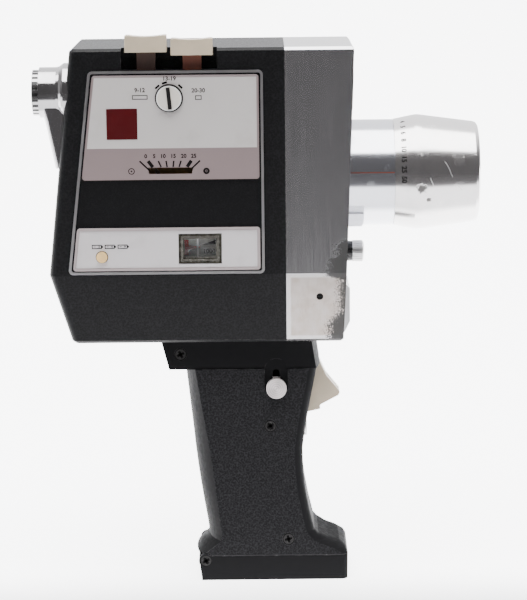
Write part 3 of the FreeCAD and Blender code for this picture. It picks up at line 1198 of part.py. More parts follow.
def motor_shaft():
    """Motor shaft with the pinion in front and a grooved worm behind."""
    rear = SPINDLE_X - 8
    shaft = rod((rear, MOTOR_Y, MOTOR_Z), X_AXIS, SHAFT_RADIUS, GEAR_PLANE_X + 1 - rear)
    pinion = involute_gear(GEAR_PLANE_X, GEAR_WIDTH, GEAR_MODULE, PINION_TEETH, 0.0, MOTOR_Y, MOTOR_Z)
    profile = [(SPINDLE_X - 6, SHAFT_RADIUS - 0.2)]
    pitch = 1.7
    for index in range(7):
        x = SPINDLE_X - 6 + pitch * index
        profile += [(x + 0.1, WORM_RADIUS - 1.0), (x + 0.5, WORM_RADIUS), (x + 1.0, WORM_RADIUS),
                    (x + 1.4, WORM_RADIUS - 1.0)]
    profile.append((SPINDLE_X + 6, SHAFT_RADIUS - 0.2))
    return fuse_all([shaft, pinion, turned(profile, MOTOR_Y, MOTOR_Z)])


def idler_gear():
    """Idler between the motor pinion and the shutter gear, on its own stub shaft."""
    gear = involute_gear(GEAR_PLANE_X, GEAR_WIDTH, GEAR_MODULE, IDLER_TEETH, IDLER_PHASE, IDLER_Y, IDLER_Z)
    windows = []
    for index in range(5):
        spoke = rod((GEAR_PLANE_X - 1, IDLER_Y, IDLER_Z + 8.2), X_AXIS, 3.0, 5)
        windows.append(turn_about(spoke, Vector(0, IDLER_Y, IDLER_Z), X_AXIS, 72.0 * index))
    stub = rod((PLATE_REAR_X + 0.3, IDLER_Y, IDLER_Z), X_AXIS, SHAFT_RADIUS, GEAR_PLANE_X + 1 - PLATE_REAR_X)
    return fuse_all([gear.cut(windows), stub])


def shutter():
    """Shutter disc with an open sector, on one shaft with its gear."""
    disc = rod((SHUTTER_X, SHUTTER_Y, SHUTTER_Z), X_AXIS, SHUTTER_RADIUS, 0.5)
    opening = []
    steps = 8
    for step in range(steps + 1):
        angle = math.radians(lerp(120, 270, step / steps))
        opening.append(Vector(SHUTTER_X - 1, SHUTTER_Y + 30 * math.cos(angle),
                              SHUTTER_Z + 30 * math.sin(angle)))
    centre = Vector(SHUTTER_X - 1, SHUTTER_Y, SHUTTER_Z)
    sector = Part.Face(Part.makePolygon([centre] + opening + [centre])).extrude(Vector(3, 0, 0))
    hub = rod((GEAR_PLANE_X, SHUTTER_Y, SHUTTER_Z), X_AXIS, 3.2, SHUTTER_X + 1.6 - GEAR_PLANE_X)
    sector = sector.cut(rod((0, SHUTTER_Y, SHUTTER_Z), X_AXIS, 3.0, 30))
    gear = involute_gear(GEAR_PLANE_X, GEAR_WIDTH, GEAR_MODULE, SHUTTER_TEETH, SHUTTER_PHASE,
                         SHUTTER_Y, SHUTTER_Z)
    shaft = rod((PLATE_REAR_X + 0.3, SHUTTER_Y, SHUTTER_Z), X_AXIS, SHAFT_RADIUS,
                SHUTTER_X + 1 - PLATE_REAR_X)
    return fuse_all([disc.cut(sector), hub, gear, shaft])


def film_gate():
    """Polished gate with two rails, the picture opening and the claw's slot."""
    centre = SPOOL_CENTRE_Y
    near = MECH_Y1 + GATE_PLATE_GAP
    plate = box(PLATE_REAR_X - 1.0, PLATE_REAR_X, near, centre + 9.4, GATE_LOW_Z, GATE_HIGH_Z)
    rails = [box(FILM_X, PLATE_REAR_X - 1.0, near, near + 0.8, GATE_LOW_Z, GATE_HIGH_Z),
             box(FILM_X, PLATE_REAR_X - 1.0, centre + 8.6, centre + 9.4, GATE_LOW_Z, GATE_HIGH_Z)]
    opening = box(FILM_X - 1, PLATE_REAR_X + 1, -2.4, 2.4, LENS_Z - 1.8, LENS_Z + 1.8)
    slot = box(FILM_X - 1, PLATE_REAR_X + 1, CLAW_Y - 0.8, CLAW_Y + 0.8, CLAW_TIP_Z - 4.6, CLAW_TIP_Z + 0.8)
    return fuse_all([plate] + rails).cut([opening, slot])


def spindle(z, drive_end_y):
    """A spindle with a three-sided driving end, through the mechanism plate."""
    y0 = MECH_Y1 + 0.2
    base = rod((SPINDLE_X, y0, z), Y_AXIS, SPINDLE_RADIUS + 2.6, 1.0)
    post = rod((SPINDLE_X, y0, z), Y_AXIS, SPINDLE_RADIUS, 16.0)
    flats = []
    for index in range(3):
        flat = box(SPINDLE_X - 6, SPINDLE_X + 6, y0 + 12.0, y0 + 17.0, z + SPINDLE_RADIUS * 0.7, z + 8)
        flats.append(turn_about(flat, Vector(SPINDLE_X, 0, z), Y_AXIS, 120.0 * index))
    shaft = rod((SPINDLE_X, drive_end_y, z), Y_AXIS, SHAFT_RADIUS, y0 + 1 - drive_end_y)
    return fuse_all([base, post.cut(flats), shaft])


def feed_spindle():
    """Free spindle for the full spool, with a stop disc on the drive side."""
    stop = rod((SPINDLE_X, MECH_Y0 - 1.2, FEED_Z), Y_AXIS, 3.4, 1.0)
    return fuse_all([spindle(FEED_Z, MECH_Y0 - 1.2), stop])


def takeup_spindle():
    """Driven spindle with a worm wheel on the drive side."""
    wheel_radius = TAKEUP_Z - MOTOR_Z - WORM_RADIUS - 0.25
    wheel = rod((SPINDLE_X, MOTOR_Y - 2.0, TAKEUP_Z), Y_AXIS, wheel_radius, 4.0)
    cuts = []
    for index in range(WORM_WHEEL_TEETH):
        groove = box(SPINDLE_X - 0.35, SPINDLE_X + 0.35, MOTOR_Y - 4, MOTOR_Y + 4,
                     TAKEUP_Z + wheel_radius - 0.7, TAKEUP_Z + wheel_radius + 2)
        turn = 360.0 * index / WORM_WHEEL_TEETH
        cuts.append(turn_about(groove, Vector(SPINDLE_X, 0, TAKEUP_Z), Y_AXIS, turn))
    return fuse_all([spindle(TAKEUP_Z, MOTOR_Y - 3.0), wheel.cut(cuts)])


def takeup_spool():
    """Empty spool on the driven spindle: two flanges on a slotted core."""
    y0 = MECH_Y1 + 1.3
    flange_thickness = 0.8
    core = pipe((SPINDLE_X, y0, TAKEUP_Z), Y_AXIS, 9.0, SPINDLE_RADIUS + SLIDING_GAP / 3, SPOOL_WIDTH)
    flanges = []
    for start in (y0, y0 + SPOOL_WIDTH - flange_thickness):
        flange = pipe((SPINDLE_X, start, TAKEUP_Z), Y_AXIS, SPOOL_RADIUS, SPINDLE_RADIUS + SLIDING_GAP / 3,
                      flange_thickness)
        windows = []
        for index in range(3):
            window = rod((SPINDLE_X, start - 1, TAKEUP_Z + 17.0), Y_AXIS, 5.0, 4)
            windows.append(turn_about(window, Vector(SPINDLE_X, 0, TAKEUP_Z), Y_AXIS, 120.0 * index + 60))
        flanges.append(flange.cut(windows))
    slot = box(SPINDLE_X, SPINDLE_X + 12, y0 + 1.5, y0 + SPOOL_WIDTH - 1.5, TAKEUP_Z - 0.5, TAKEUP_Z + 0.5)
    return fuse_all([core] + flanges).cut(slot)


# Grip

def grip_wire(z, rear_side, rear_mid, front, corner, half, inset):
    """Plan outline of the grip: arched back, a small step behind each side face, round front corners."""
    rear_side += inset
    rear_mid += inset
    front -= inset
    corner = max(corner - inset, 0.8)
    side = half - inset
    heel = side - GRIP_STEP
    turn = corner * (1 - math.sqrt(0.5))
    spots = [(rear_side, -heel), (rear_side, heel), (rear_side, side), (front - corner, side),
             (front, side - corner), (front, corner - side), (front - corner, -side), (rear_side, -side)]
    points = [Vector(x, y, z) for x, y in spots]
    middles = {0: Vector(rear_mid, 0, z), 3: Vector(front - turn, side - turn, z),
               5: Vector(front - turn, turn - side, z)}
    edges = []
    for index, start in enumerate(points):
        end = points[(index + 1) % len(points)]
        if index in middles:
            edges.append(Part.Arc(start, middles[index], end).toShape())
        else:
            edges.append(Part.LineSegment(start, end).toShape())
    return Part.Wire(edges)


def grip_column(inset, top_z, bottom_z):
    """The hand grip's outer form, or the same form drawn in by a wall."""
    wires = []
    for z, rear_side, rear_mid, front, corner in GRIP_SECTIONS:
        wires.append(grip_wire(z, rear_side, rear_mid, front, corner, PANEL_HALF, inset))
    last = GRIP_SECTIONS[-1]
    if bottom_z < last[0]:
        wires.append(grip_wire(bottom_z, last[1], last[2], last[3], last[4], PANEL_HALF, inset))
    solid = Part.makeLoft(wires, True, True)
    return solid.common(box(-100, 100, -50, 50, bottom_z, top_z))


def block_wire(z, inset):
    """Plan outline of the block under the body, with a slightly arched front and back."""
    share = (BLOCK_REAR[0][1] - z) / (BLOCK_REAR[0][1] - BLOCK_REAR[1][1])
    rear = lerp(BLOCK_REAR[0][0], BLOCK_REAR[1][0], share) + inset
    front = lerp(BLOCK_FRONT[0][0], BLOCK_FRONT[1][0], share) - inset
    half = GRIP_HALF - inset
    points = [Vector(rear, -half, z), Vector(rear, half, z), Vector(front, half, z), Vector(front, -half, z)]
    edges = [Part.Arc(points[0], Vector(rear - BLOCK_REAR_BULGE, 0, z), points[1]).toShape(),
             Part.LineSegment(points[1], points[2]).toShape(),
             Part.Arc(points[2], Vector(front + BLOCK_FRONT_BULGE, 0, z), points[3]).toShape(),
             Part.LineSegment(points[3], points[0]).toShape()]
    return Part.Wire(edges)


def grip_block(inset, z0, z1):
    """The block under the body, between two heights."""
    return Part.makeLoft([block_wire(z1, inset), block_wire(z0, inset)], True, True)


def trigger_slot():
    """Opening in the front for the trigger."""
    half = TRIGGER_HALF + TRIGGER_SLOT_GAP
    return box(8, 40, -half, half, TRIGGER_SLOT_BOTTOM_Z, TRIGGER_SLOT_TOP_Z)


def grip_shell():
    """Both halves of the grip in one piece, before the cuts that belong to one side."""
    outer = fuse_all([grip_block(0, BLOCK_BOTTOM_Z, GRIP_TOP_Z),
                      grip_column(0, BLOCK_BOTTOM_Z, FOOT_SEAM_Z)])
    inner = [grip_block(GRIP_WALL, BLOCK_BOTTOM_Z + GRIP_WALL, GRIP_TOP_Z + 1),
             grip_column(GRIP_WALL, BLOCK_BOTTOM_Z + GRIP_WALL + 0.5, FOOT_SEAM_Z - 1)]
    shell = cut_all(outer, inner)
    scallop = rod((CAP_HINGE_X, -30, CAP_HINGE_Z), Y_AXIS, CAP_EAR_RADIUS + SLIDING_GAP, 60)
    cheeks = box(14.2, 18.4, -9.5, 9.5, TRIGGER_PIVOT_Z - 2.6, TRIGGER_PIVOT_Z + 2.6)
    cheeks = cheeks.common(fuse_all([outer]))
    shell = fuse_all([shell, cheeks]).cut([scallop, trigger_slot()])
    jack_hole = rod((6, 0, JACK_Z), X_AXIS, JACK_FLANGE_RADIUS, 20)
    lugs = []
    for y0 in (-LUG_OUTER, LUG_INNER):
        strap = box(CAP_HINGE_X - LUG_RADIUS, CAP_HINGE_X + LUG_RADIUS, y0, y0 + LUG_OUTER - LUG_INNER,
                    CAP_HINGE_Z, FOOT_SEAM_Z + 3.4)
        above = strap.common(fuse_all([outer]))
        below = strap.common(box(-50, 0, -50, 50, 0, FOOT_SEAM_Z + 0.2))
        eye = rod((CAP_HINGE_X, y0, CAP_HINGE_Z), Y_AXIS, LUG_RADIUS, LUG_OUTER - LUG_INNER)
        lugs += [above, below, eye]
    shell = fuse_all([shell] + lugs).cut(rod((CAP_HINGE_X, -30, CAP_HINGE_Z), Y_AXIS, CAP_SHANK_RADIUS, 60))
    return shell.cut(jack_hole)


def grip_near(shell):
    """Near half, with the screw heads' recesses, the lock's slot and the trigger's pin."""
    half = shell.common(box(-100, 100, -50, 0, -10, 150))
    bosses = []
    cuts = []
    for x, z, face in SCREW_SPOTS:
        cuts.append(rod((x, -face - 1, z), Y_AXIS, SCREW_HEAD_RADIUS + HEAD_CLEARANCE,
                        SCREW_HEAD_HEIGHT + 1))
        cuts.append(rod((x, -face, z), Y_AXIS, SCREW_SHANK_RADIUS + 0.1, face + 1))
    for x, z, face in SCREW_SPOTS[1:]:
        bosses.append(rod((x, GRIP_WALL / 2 - face, z), Y_AXIS, BOSS_RADIUS, face - GRIP_WALL / 2))
    slot_half = LOCK_SLOT_WIDTH / 2
    slot_low = LOCK_Z - slot_half - 0.1
    cuts += [box(LOCK_X - slot_half, LOCK_X + slot_half, -25, -12, slot_low, SLOT_TOP_Z - slot_half),
             rod((LOCK_X, -25, SLOT_TOP_Z - slot_half), Y_AXIS, slot_half, 13),
             rod((LOCK_X, -25, slot_low), Y_AXIS, slot_half, 13)]
    arch_floor = -GRIP_HALF + ARCH_DEPTH
    arch_z = SLOT_TOP_Z - 0.2
    cuts += [rod((LOCK_X, -25, arch_z), Y_AXIS, ARCH_RADIUS, 25 + arch_floor),
             box(LOCK_X - ARCH_RADIUS, LOCK_X + ARCH_RADIUS, -25, arch_floor, LOCK_Z, arch_z),
             rod((LOCK_X, -25, LOCK_Z), Y_AXIS, ARCH_RADIUS, 25 + arch_floor)]
    pin = rod((TRIGGER_PIVOT_X, -8.0, TRIGGER_PIVOT_Z), Y_AXIS, TRIGGER_PIN_RADIUS, 16.0)
    return fuse_all([fuse_all([half] + bosses).cut(cuts), pin])


def grip_far(shell):
    """Far half, with the threaded bosses and the hole for the trigger's pin."""
    half = shell.common(box(-100, 100, 0, 50, -10, 150))
    bosses = []
    cuts = [rod((TRIGGER_PIVOT_X, 0, TRIGGER_PIVOT_Z), Y_AXIS, TRIGGER_PIN_RADIUS, 8.2)]
    for x, z, face in SCREW_SPOTS:
        cuts.append(rod((x, -1, z), Y_AXIS, SCREW_SHANK_RADIUS, face + 0.5))
    for x, z, face in SCREW_SPOTS[1:]:
        bosses.append(rod((x, 0, z), Y_AXIS, BOSS_RADIUS, face - GRIP_WALL / 2))
    return fuse_all([half] + bosses).cut(cuts)


def screw(x, z, face, length, shank_radius, away=1):
    """Cross-head screw along Y; away is 1 when it points to the far side."""
    head = rod((x, -face, z), Y_AXIS, SCREW_HEAD_RADIUS, SCREW_HEAD_HEIGHT)
    shank = rod((x, -face + 0.6, z), Y_AXIS, shank_radius, length)
    arms = [box(x - 1.5, x + 1.5, -face - 1, -face + 0.7, z - 0.28, z + 0.28),
            box(x - 0.28, x + 0.28, -face - 1, -face + 0.7, z - 1.5, z + 1.5)]
    whole = fuse_all([head, shank]).cut(arms)
    return whole if away > 0 else turn_about(whole, Vector(x, 0, z), Z_AXIS, 180)


def cross_head_screws():
    """All cross-head screws of the grip, and the set screw in the side of the housing."""
    screws = []
    for x, z, face in SCREW_SPOTS:
        screws.append(screw(x, z, face, 2 * face - 1.6, SCREW_SHANK_RADIUS))
    for away in (1, -1):
        screws.append(screw(CAP_HINGE_X, CAP_HINGE_Z, PANEL_HALF, 4.6, CAP_SHANK_RADIUS, away))
    return screws


def grip_bracket():
    """Metal bracket inside the block, bolted to the underside of the body."""
    half = GRIP_HALF - GRIP_WALL - 0.4
    plate = box(-40.0, 14.0, -half, half, GRIP_TOP_Z - 3.0, GRIP_TOP_Z)
    x, z, face = SCREW_SPOTS[0]
    foot = box(x - 2.9, x + 3.0, -half, half, z - 3.0, GRIP_TOP_Z)
    holes = [rod((x, -half - 1, z), Y_AXIS, SCREW_SHANK_RADIUS, 2 * half + 2)]
    for bx, by in BRACKET_BOLTS:
        holes.append(rod((bx, by, GRIP_TOP_Z - 4), Z_AXIS, BOLT_RADIUS, 6))
    return fuse_all([plate, foot]).cut(holes)


def bracket_bolts():
    """Three bolts with nuts through the bracket and the floor of the body."""
    bolts = []
    for x, y in BRACKET_BOLTS:
        head = rod((x, y, GRIP_TOP_Z - 5.0), Z_AXIS, 2.8, 2.0)
        shank = rod((x, y, GRIP_TOP_Z - 3.5), Z_AXIS, BOLT_RADIUS, BODY_WALL + 6.5)
        nut = rod((x, y, BODY_BOTTOM_Z + BODY_WALL), Z_AXIS, 2.8, 2.0)
        bolts.append(fuse_all([head, shank, nut]))
    return bolts


def trigger():
    """Wedge-shaped release with its hub round the pin."""
    nose = plate_xz([(14.4, 88.0), (18.6, 91.4), (20.1, 91.6), (23.6, 84.0), (29.2, 77.0), (28.6, 75.6),
                     (20.8, 71.5), (21.0, 69.8), (15.4, 68.6), (14.2, 70.0)], -TRIGGER_HALF, TRIGGER_HALF)
    nose = round_upright(nose, 0.6, pick=lambda spot: spot.x > 20.0)
    hub = rod((TRIGGER_PIVOT_X, -TRIGGER_HALF, TRIGGER_PIVOT_Z), Y_AXIS, 2.4, 2 * TRIGGER_HALF)
    bore = rod((TRIGGER_PIVOT_X, -10, TRIGGER_PIVOT_Z), Y_AXIS, TRIGGER_PIN_RADIUS + RUNNING_FIT, 20)
    return fuse_all([nose, hub]).cut(bore)


def lock_button():
    """Turned button that slides in the near side, with a plate inside."""
    disc = rod((LOCK_X, -PANEL_HALF - 2.7, LOCK_Z), Y_AXIS, LOCK_RADIUS, 2.4)
    grooves = []
    for ring in range(3):
        radius = 1.1 + 1.0 * ring
        grooves.append(pipe((LOCK_X, -PANEL_HALF - 3, LOCK_Z), Y_AXIS, radius + 0.25, radius, 0.5))
    neck = rod((LOCK_X, -PANEL_HALF - 0.5, LOCK_Z), Y_AXIS, LOCK_SLOT_WIDTH / 2 - 0.1, GRIP_WALL + 0.9)
    inner = -PANEL_HALF + GRIP_WALL + SLIDING_GAP
    plate = box(LOCK_X - 4.0, LOCK_X + 4.0, inner, inner + 1.0, LOCK_Z - 4.0, LOCK_Z + 4.0)
    return fuse_all([disc.cut(grooves), neck, plate])


def remote_jack():
    """Socket in the front of the grip."""
    flange = rod((8.0, 0, JACK_Z), X_AXIS, JACK_FLANGE_RADIUS, JACK_FACE_X - 8.0)
    body = rod((JACK_FACE_X - JACK_LENGTH - 0.8, 0, JACK_Z), X_AXIS, 2.9, 8.0)
    bore = rod((JACK_FACE_X - JACK_LENGTH, 0, JACK_Z), X_AXIS, JACK_BORE, JACK_LENGTH + 1)
    return fuse_all([flange, body]).cut(bore)


def battery_carrier():
    """Contact board above the cells with a square post between them."""
    top = CELLS_BOTTOM_Z + CELL_LENGTH
    board = box(CELLS_X - CELL_PITCH, CELLS_X + CELL_PITCH - 2.9, -CELL_PITCH + 0.4, CELL_PITCH - 0.4,
                top + 1.6, top + 3.1)
    board = round_upright(board, 5.0, axis=Z_AXIS, pick=lambda spot: spot.x < CELLS_X)
    post = box(CELLS_X - 1.8, CELLS_X + 1.8, -1.8, 1.8, CELLS_BOTTOM_Z + 2, top + 1.6)
    parts = [board, post]
    for x, y in cell_centres():
        parts.append(rod((x, y, top + 1.2), Z_AXIS, 3.0, 0.4))
    return fuse_all(parts)


def cell_centres():
    """Plan positions of the four cells."""
    half = CELL_PITCH / 2
    return [(CELLS_X + i * half, j * half) for i in (-1, 1) for j in (-1, 1)]


def cells():
    """Four dry cells with their raised ends."""
    made = []
    for x, y in cell_centres():
        can = rod((x, y, CELLS_BOTTOM_Z), Z_AXIS, CELL_RADIUS, CELL_LENGTH)
        nub = rod((x, y, CELLS_BOTTOM_Z + CELL_LENGTH), Z_AXIS, 2.6, 1.2)
        made.append(fuse_all([can.makeFillet(0.5, can.Edges[:1]), nub]))
    return made


def battery_door():
    """Hinged foot of the grip: a hollow cap with ears round the hinge screws."""
    wires = [grip_wire(0.0, CAP_REAR_BOTTOM, CAP_REAR_BOTTOM - 0.3, CAP_FRONT_BOTTOM,
                       CAP_CORNER, PANEL_HALF, 0),
             grip_wire(FOOT_SEAM_Z - SEAM_GAP, CAP_REAR_TOP, CAP_REAR_TOP - 0.3, CAP_FRONT_TOP,
                       CAP_CORNER, PANEL_HALF, 0)]
    cap = Part.makeLoft(wires, True, True)
    corner = box(-50, CAP_HINGE_X, -30, 30, CAP_HINGE_Z, FOOT_SEAM_Z + 2)
    ear = rod((CAP_HINGE_X, -PANEL_HALF, CAP_HINGE_Z), Y_AXIS, CAP_EAR_RADIUS, 2 * PANEL_HALF)
    sliver = box(-50, CAP_HINGE_X, -30, 30, 0, FOOT_SEAM_Z + 2).cut(
        box(CAP_HINGE_X - CAP_EAR_RADIUS, 0, -40, 40, -5, 30))
    cap = fuse_all([cap.cut([corner, sliver]), ear])
    inner_half = CAP_CHEEK_INNER - 0.2
    hollow = box(-24.4, 29.0, -inner_half, inner_half, CAP_FLOOR, 20)
    boss = rod((0, 0, 0), Z_AXIS, TRIPOD_BUSH_RADIUS + 2.0, TRIPOD_DEPTH + 0.4)
    pads = [box(x - 4, x + 4, y - 4, y + 4, 0.5, CELLS_BOTTOM_Z - 0.4) for x, y in cell_centres()]
    cap = fuse_all([cap.cut(hollow), boss] + pads)
    cuts = [rod((0, 0, -1), Z_AXIS, TRIPOD_BUSH_RADIUS, TRIPOD_DEPTH + 1.4)]
    for side in (-1, 1):
        low = min(side * (LUG_INNER - 0.2), side * CAP_CHEEK_INNER)
        depth = CAP_CHEEK_INNER - LUG_INNER + 0.2
        cuts += [rod((CAP_HINGE_X, low, CAP_HINGE_Z), Y_AXIS, LUG_RADIUS + SLIDING_GAP, depth),
                 box(CAP_HINGE_X - CAP_EAR_RADIUS - 0.1, -21, low, low + depth,
                     CAP_HINGE_Z - LUG_SWING_DROP, 20),
                 box(CAP_HINGE_X, -21, low, low + depth, CAP_HINGE_Z - LUG_RADIUS - SLIDING_GAP, 20)]
    cuts.append(rod((CAP_HINGE_X, -30, CAP_HINGE_Z), Y_AXIS, CAP_SHANK_RADIUS + RUNNING_FIT, 60))
    recess = SCREW_HEAD_RADIUS + RUNNING_FIT
    cuts += [rod((CAP_HINGE_X, -30, CAP_HINGE_Z), Y_AXIS, recess,
                 30 - PANEL_HALF + SCREW_HEAD_HEIGHT + 0.05),
             rod((CAP_HINGE_X, PANEL_HALF - SCREW_HEAD_HEIGHT - 0.05, CAP_HINGE_Z), Y_AXIS, recess, 20)]
    return cap.cut(cuts)


def tripod_bush():
    """Threaded metal bush for the tripod screw."""
    return pipe((0, 0, 0), Z_AXIS, TRIPOD_BUSH_RADIUS, TRIPOD_RADIUS, TRIPOD_DEPTH + 0.4)


def group(*shapes):
    """Several separate solids in one shape."""
    flat = []
    for shape in shapes:
        flat += shape if isinstance(shape, list) else [shape]
    return flat[0] if len(flat) == 1 else Part.makeCompound(flat)


def all_parts():
    """Every node's name and shape."""
    shell = grip_shell()
    wide = (WIDE_KEY_X, WIDE_KEY_BOTTOM_Z)
    tele = (TELE_KEY_X, TELE_KEY_BOTTOM_Z)
    return {
        "body_shell": body_shell(),
        "front_housing": front_housing(),
        "side_panel": side_panel(),
        "panel_trim": panel_trim(),
        "dial_plate": group(dial_plate(), dial_collar()),
        "meter_plate": meter_plate(),
        "meter_case": group(meter_case(), meter_scale()),
        "meter_window": meter_window(),
        "control_switches": group(key_switches(), test_switch()),
        "finder_tube": finder_tube(),
        "finder_window": finder_window(),
        "eyepiece_housing": eyepiece_housing(),
        "lens_barrel": group(lens_barrel(), zoom_drive_cover()),
        "zoom_motor": zoom_motor(),
        "rear_lens_group": group(rear_lens_group(), iris_unit()),
        "knob_collar": knob_collar(),
        "photocell_bezel": group(photocell_bezel(), photocell()),
        "photocell_window": photocell_window(),
        "body_hinge_leaf": group(body_hinge_leaf(), door_hinge_pin()),
        "front_plate": front_plate(),
        "mechanism_plate": group(mechanism_plate(), frame_pillars()),
        "drive_motor": drive_motor(),
        "film_gate": film_gate(),
        "grip_near": grip_near(shell),
        "grip_far": grip_far(shell),
        "grip_bracket": grip_bracket(),
        "remote_jack": remote_jack(),
        "battery_carrier": battery_carrier(),
        "cells": group(cells()),
        "screws": group(cross_head_screws(), set_screw(), front_plate_screws(), bracket_bolts()),
        "finder_dial": finder_dial(),
        "finder_carriage": finder_carriage(),
        "battery_test_button": battery_test_button(),
        "footage_pointer": footage_pointer(),
        "meter_needle": meter_needle(),
        "wide_key": key_cap(*wide),
        "wide_key_stem": key_stem(*wide),
        "tele_key": key_cap(*tele),
        "tele_key_stem": key_stem(*tele),
        "eyepiece_ring": eyepiece_ring(),
        "eyepiece_lens": eyepiece_lens(),
        "zoom_ring": zoom_ring(),
        "zoom_pinion": zoom_pinion(),
        "zoom_lens_group": zoom_lens_group(),
        "focus_ring": focus_ring(),
        "front_cell": group(front_cell(), retaining_ring()),
        "front_element": front_element(),
        "front_knob": front_knob(),
        "film_door": fuse_all([film_door(), door_hinge_leaf()]),
        "door_latch": door_latch(),
        "motor_shaft": motor_shaft(),
        "idler_gear": idler_gear(),
        "shutter": shutter(),
        "takeup_spindle": takeup_spindle(),
        "takeup_spool": takeup_spool(),
        "feed_spindle": feed_spindle(),
        "trigger": trigger(),
        "lock_button": lock_button(),
        "battery_door": battery_door(),
        "tripod_bush": tripod_bush(),
    }


if __name__ == "__main__":
    os.makedirs("parts", exist_ok=True)
    for name, shape in all_parts().items():
        shape.exportStep(os.path.join("parts", name + ".step"))
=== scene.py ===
"""Movie camera with a pistol grip: finishes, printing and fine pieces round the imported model."""
from __future__ import annotations

import logging
import math
from dataclasses import dataclass
from enum import Enum
from functools import partial
from typing import Callable, Iterable, Sequence

import bmesh
import bpy
from mathutils import Matrix, Vector


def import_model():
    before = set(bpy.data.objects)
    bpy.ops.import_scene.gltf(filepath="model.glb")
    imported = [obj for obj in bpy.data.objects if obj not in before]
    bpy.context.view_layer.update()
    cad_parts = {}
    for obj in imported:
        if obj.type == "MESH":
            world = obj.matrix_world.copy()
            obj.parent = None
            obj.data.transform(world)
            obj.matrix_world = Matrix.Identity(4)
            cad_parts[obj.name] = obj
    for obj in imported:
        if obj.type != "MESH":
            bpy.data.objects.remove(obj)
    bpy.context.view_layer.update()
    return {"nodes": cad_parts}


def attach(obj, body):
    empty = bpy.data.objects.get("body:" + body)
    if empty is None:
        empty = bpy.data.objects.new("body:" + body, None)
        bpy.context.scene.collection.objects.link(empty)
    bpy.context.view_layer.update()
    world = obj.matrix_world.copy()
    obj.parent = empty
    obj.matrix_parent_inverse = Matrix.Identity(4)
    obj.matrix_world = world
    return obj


LOG = logging.getLogger("movie_camera")
MM = 0.001
MAIN_BODY = "camera"

Colour = tuple[float, float, float]
Point = tuple[float, float]
Four = tuple[float, float, float, float]
Socket = bpy.types.NodeSocket

WHOLE, NUMBER, VECTOR = "NodeSocketInt", "NodeSocketFloat", "NodeSocketVector"
NOISE_RANGE = (0.3, 0.7)
SPECKLE_RANGE = (0.3, 0.75)


def shade(red: int, green: int, blue: int) -> Colour:
    """Linear colour from 0..255 screen values."""
    def linear(value: int) -> float:
        """Linear value of one screen value."""
        share = value / 255
        return share / 12.92 if share <= 0.04045 else ((share + 0.055) / 1.055) ** 2.4
    return linear(red), linear(green), linear(blue)


class Axis(Enum):
    """Direction in which brushing or turning lines run."""

    ALONG_X = (40.0, 2600.0, 2600.0)
    UPRIGHT = (2600.0, 2600.0, 40.0)


# Node graphs

